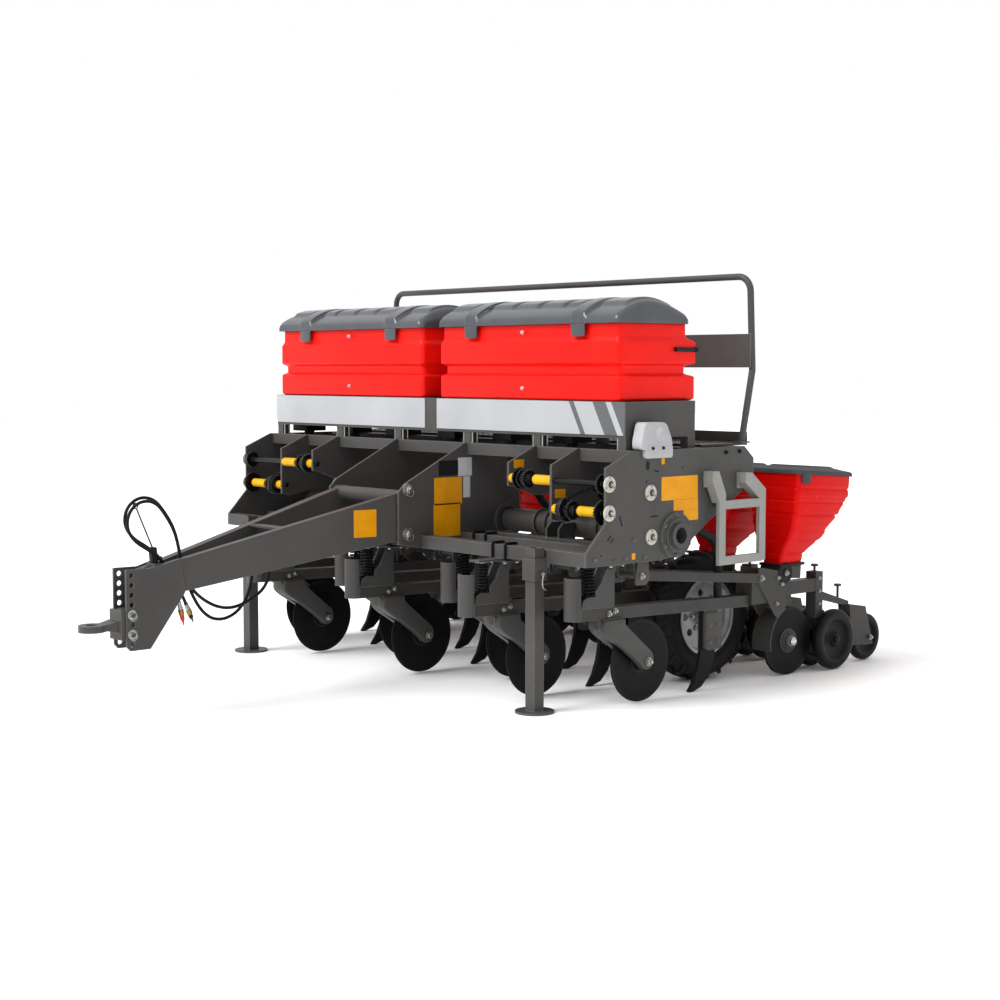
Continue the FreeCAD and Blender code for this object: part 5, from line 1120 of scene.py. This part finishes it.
# Cast coulter forks: a rolled-over cheek outside each leg and a web that closes the arch above the disc
forkShape = {"across": (19.6, 58), "roll": 9, "turn": 20, "arch": 212}
forks, brackets = [], []
for x, d in rows:
    top = rowFloor(d, d + 20) - 1
    cheek = [(-53, top), (92, top), (88, top - 26), (150, top - 78), (283, 246), (289, 204), (268, 166), (220, 166),
             (197, 196), (84, 284), (-22, 350), (-58, 384)]
    cheek = [(d + behind, z) for behind, z in cheek]
    arch = [arc(d + coulterHub[0], coulterHub[1], forkShape["arch"], start, 0, 1)[0] for start in (151, 145, 138, 132)]
    web = [(d - 55, top), (d - 57, 386), (d - 22, 352)] + arch + [(d + 90, top - 24), (d + 90, top)]
    foot = [(d + 702, 214), (d + 712, 204), (d + 812, 204), (d + 824, 216), (d + 824, 392), (d + 702, 395)]
    link = [(428, 752), (488, 752), (494, 612), (478, 588), (408, 588), (398, 606)]
    for side in (1, -1):
        forks.append(castPlate(cheek, x, side, *forkShape["across"], forkShape["turn"], forkShape["roll"]))
        brackets += [castPlate(foot, x, side, 21, 28, 16, 2), castPlate(link, x, side, 71, 80, 12, 2)]
    forks.append(slab(web, (x - 22, x + 22)))
addPiece("coulterForks", forks, charcoal, 40)
addPiece("rowBrackets", brackets, charcoal, 35)
print("forks and brackets:", len(forks) + len(brackets))

# The transmission's pale cover, softened all round, with its dome standing out of a shallow ring
coverShape = {"edge": 12, "turn": 26, "domeY": 470, "domeZ": 1312, "domeRadius": 40, "domeHigh": 24}
shell = [(348, 1243), (344, 1280), (366, 1362), (378, 1374), (508, 1372), (526, 1362), (562, 1286), (565, 1243)]
skirt = [(372, 1262), (565, 1262), (565, 1210), (556, 1202), (382, 1202), (372, 1212)]
dome = [(0, coverShape["domeRadius"] + 9), (2, coverShape["domeRadius"] + 4)]
for i in range(9):
    angle = math.radians(8 + 82 * i / 8)
    dome.append((coverShape["domeHigh"] * math.sin(angle) + 0.5, max(coverShape["domeRadius"] * math.cos(angle), 0.1)))
coverParts = [softSlab(shell, 1453, 1516.8, coverShape["turn"], coverShape["edge"]),
              softSlab(skirt, 1495.4, 1516.9, 14, 7),
              spun(place(1516, coverShape["domeY"], coverShape["domeZ"]), 1, dome, 40)]
paleCover = addPiece("driveCoverMoulding", coverParts, (coverMoulding, "pale_plastic"), 50)
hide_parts("drive_cover")

# Seed meters under the hoppers: a round housing with a zinc thumb nut on each side and a flanged throat
meterShape = {"y": 1556, "z": 556, "throatY": 1606, "throat": (74, 100)}
meterCase = [(0, 0.1), (0, 56), (6, 56), (9, 53), (9, 46), (7, 44), (7, 24), (11, 20), (11, 0.1)]
meterParts, meterNuts = [], []
for x in rowXs:
    for side in (1, -1):
        meterParts.append(spun(place(x + side * 58, meterShape["y"], meterShape["z"]), side, meterCase, 32))
        meterNuts += onSides(side, 69, ((meterShape["y"], meterShape["z"]),), 1.1, x)
    wide, long = meterShape["throat"]
    meterParts.append(skinOver([[place(x + a, meterShape["throatY"] + b, z) for a, b in
                                 roundedLoop(-wide - grow, wide + grow, -long - grow, long + grow, 16, 3)]
                                for z, grow in ((590, 0), (592, 4), (603, 4), (605, 0))]))
addPiece("seedMeters", meterParts, plastic, 40)
bolts("meterNuts", meterNuts)

# The hose stay's eye and the leaning block that grips its foot
stayBlock = [[place(a, -1381 + b - (z - 713) * 0.1, z) for a, b in roundedLoop(-half, half, -half, half, 4, 2)]
             for z, half in ((713.4, 14), (716, 16), (786, 16), (789, 14))]
addPiece("stayEye", [hoop(0, -1475, 988, 13, 2.6, 20)], black)
addPiece("stayBlock", [skinOver(stayBlock)], plastic, 0)
print("fittings added")

labelShape = {"thick": 0.6, "rim": 0.4, "turn": 4}


def label(name, centre, right, width, height, material=orangeLabel):
    # an upright sticker that faces out from right and up, its rim a little rounded
    right, up = Vector(right).normalized(), Vector(zWay)
    out, thick = right.cross(up), labelShape["thick"]
    loops = []
    for rise, shrink in ((0, 0), (thick * 0.7, 0), (thick, labelShape["rim"])):
        wide, high = width / 2 - shrink, height / 2 - shrink
        loops.append([centre + right * (a / 1000) + up * (b / 1000) + out * (rise / 1000)
                      for a, b in roundedLoop(-wide, wide, -high, high, labelShape["turn"], 3)])
    addPiece(name, [skinOver(loops)], (material, "yellow_plastic"), 0)


# each label: its name, its middle, width, height and, where it isn't orange, its material
sideLabels = (("wide", 636, 1052, 260, 114), ("middle", 681, 968, 176, 52), ("low", 717, 916, 106, 51),
              ("upper", 516, 1185, 22, 30), ("corner", 315, 742, 24, 30))
innerLabels = (("plateLabel_plate", 295.1, 188, 1113, 132, 78, blackPlastic),
               ("plateLabel_white", 295.1, 300, 1116, 96, 96, whiteLabel),
               ("plateLabel_whiteLow", 295.1, 312, 1010, 48, 110, whiteLabel),
               ("plateLabel_high", 295.1, 185, 994, 188, 142), ("plateLabel_low", 295.1, 177, 845, 180, 172),
               ("bayLabel_a", 826.1, 195, 1157, 70, 42), ("bayLabel_b", 1131.1, 184, 1027, 70, 42))
for side, word in sides:
    for key, y, z, *size in sideLabels:
        label("sideLabel_%s_%s" % (key, word), place(side * (sideX + 0.1), y, z), (0, side, 0), *size)
for name, x, y, z, *rest in innerLabels:
    label(name, place(x, y, z), yWay, *rest)
beamRight = Vector((289 - 6.3 - 52, -75 + 1440, 0)).normalized()         # along the drawbar's outer face
beamFace = Vector((52, -1440, 0)) + beamRight * 1140
label("beamLabel", place(beamFace.x + 0.3, beamFace.y, 851), (beamRight.x, beamRight.y, 0), 128, 138)
print("labels laid")

studioFloor = surface("paintedStudioFloor", "#FBFBFB", "#FEFEFE", 900, 3.0, (0.55, 0.7), bump=0.03)
floorMesh = bpy.data.meshes.new("studioFloor")
floorMesh.from_pydata([(-40, -40, 0), (40, -40, 0), (40, 40, 0), (-40, 40, 0)], [], [(0, 1, 2, 3)])
floorMesh.materials.append(studioFloor)
floorSheet = linked("studioFloor", floorMesh)

world = bpy.data.worlds.new("studioAir")
bpy.context.scene.world = world
world.use_nodes = True
air = world.node_tree.nodes["Background"]
air.inputs["Color"].default_value = (1.0, 1.0, 1.0, 1.0)
air.inputs["Strength"].default_value = 1.0

lightSettings = {"from": (-0.3, -1.0, 1.0), "strength": 3.0, "angleDeg": 30}
sun = bpy.data.lights.new("studioKey", "SUN")
sun.energy = lightSettings["strength"]
sun.angle = math.radians(lightSettings["angleDeg"])
linked("studioKey", sun).rotation_euler = (-Vector(lightSettings["from"])).to_track_quat("-Z", "Y").to_euler()

cameraSettings = {"spot": (7056, -5541, 1633), "azimuth": 48.0, "down": 4.429, "lens": 61.69}
camera = bpy.data.cameras.new("mainCamera")
camera.lens = cameraSettings["lens"]
camera.sensor_width = 36.0
camera.clip_end = 200.0
cameraHolder = linked("mainCamera", camera)
cameraHolder.location = place(*cameraSettings["spot"])
turn, tilt = math.radians(cameraSettings["azimuth"]), math.radians(cameraSettings["down"])
ahead = Vector((-math.sin(turn) * math.cos(tilt), math.cos(turn) * math.cos(tilt), -math.sin(tilt)))
cameraHolder.rotation_euler = ahead.to_track_quat("-Z", "Y").to_euler()
bpy.context.scene.camera = cameraHolder
bpy.context.scene.view_settings.view_transform = "Standard"
print("stage, light and camera set")
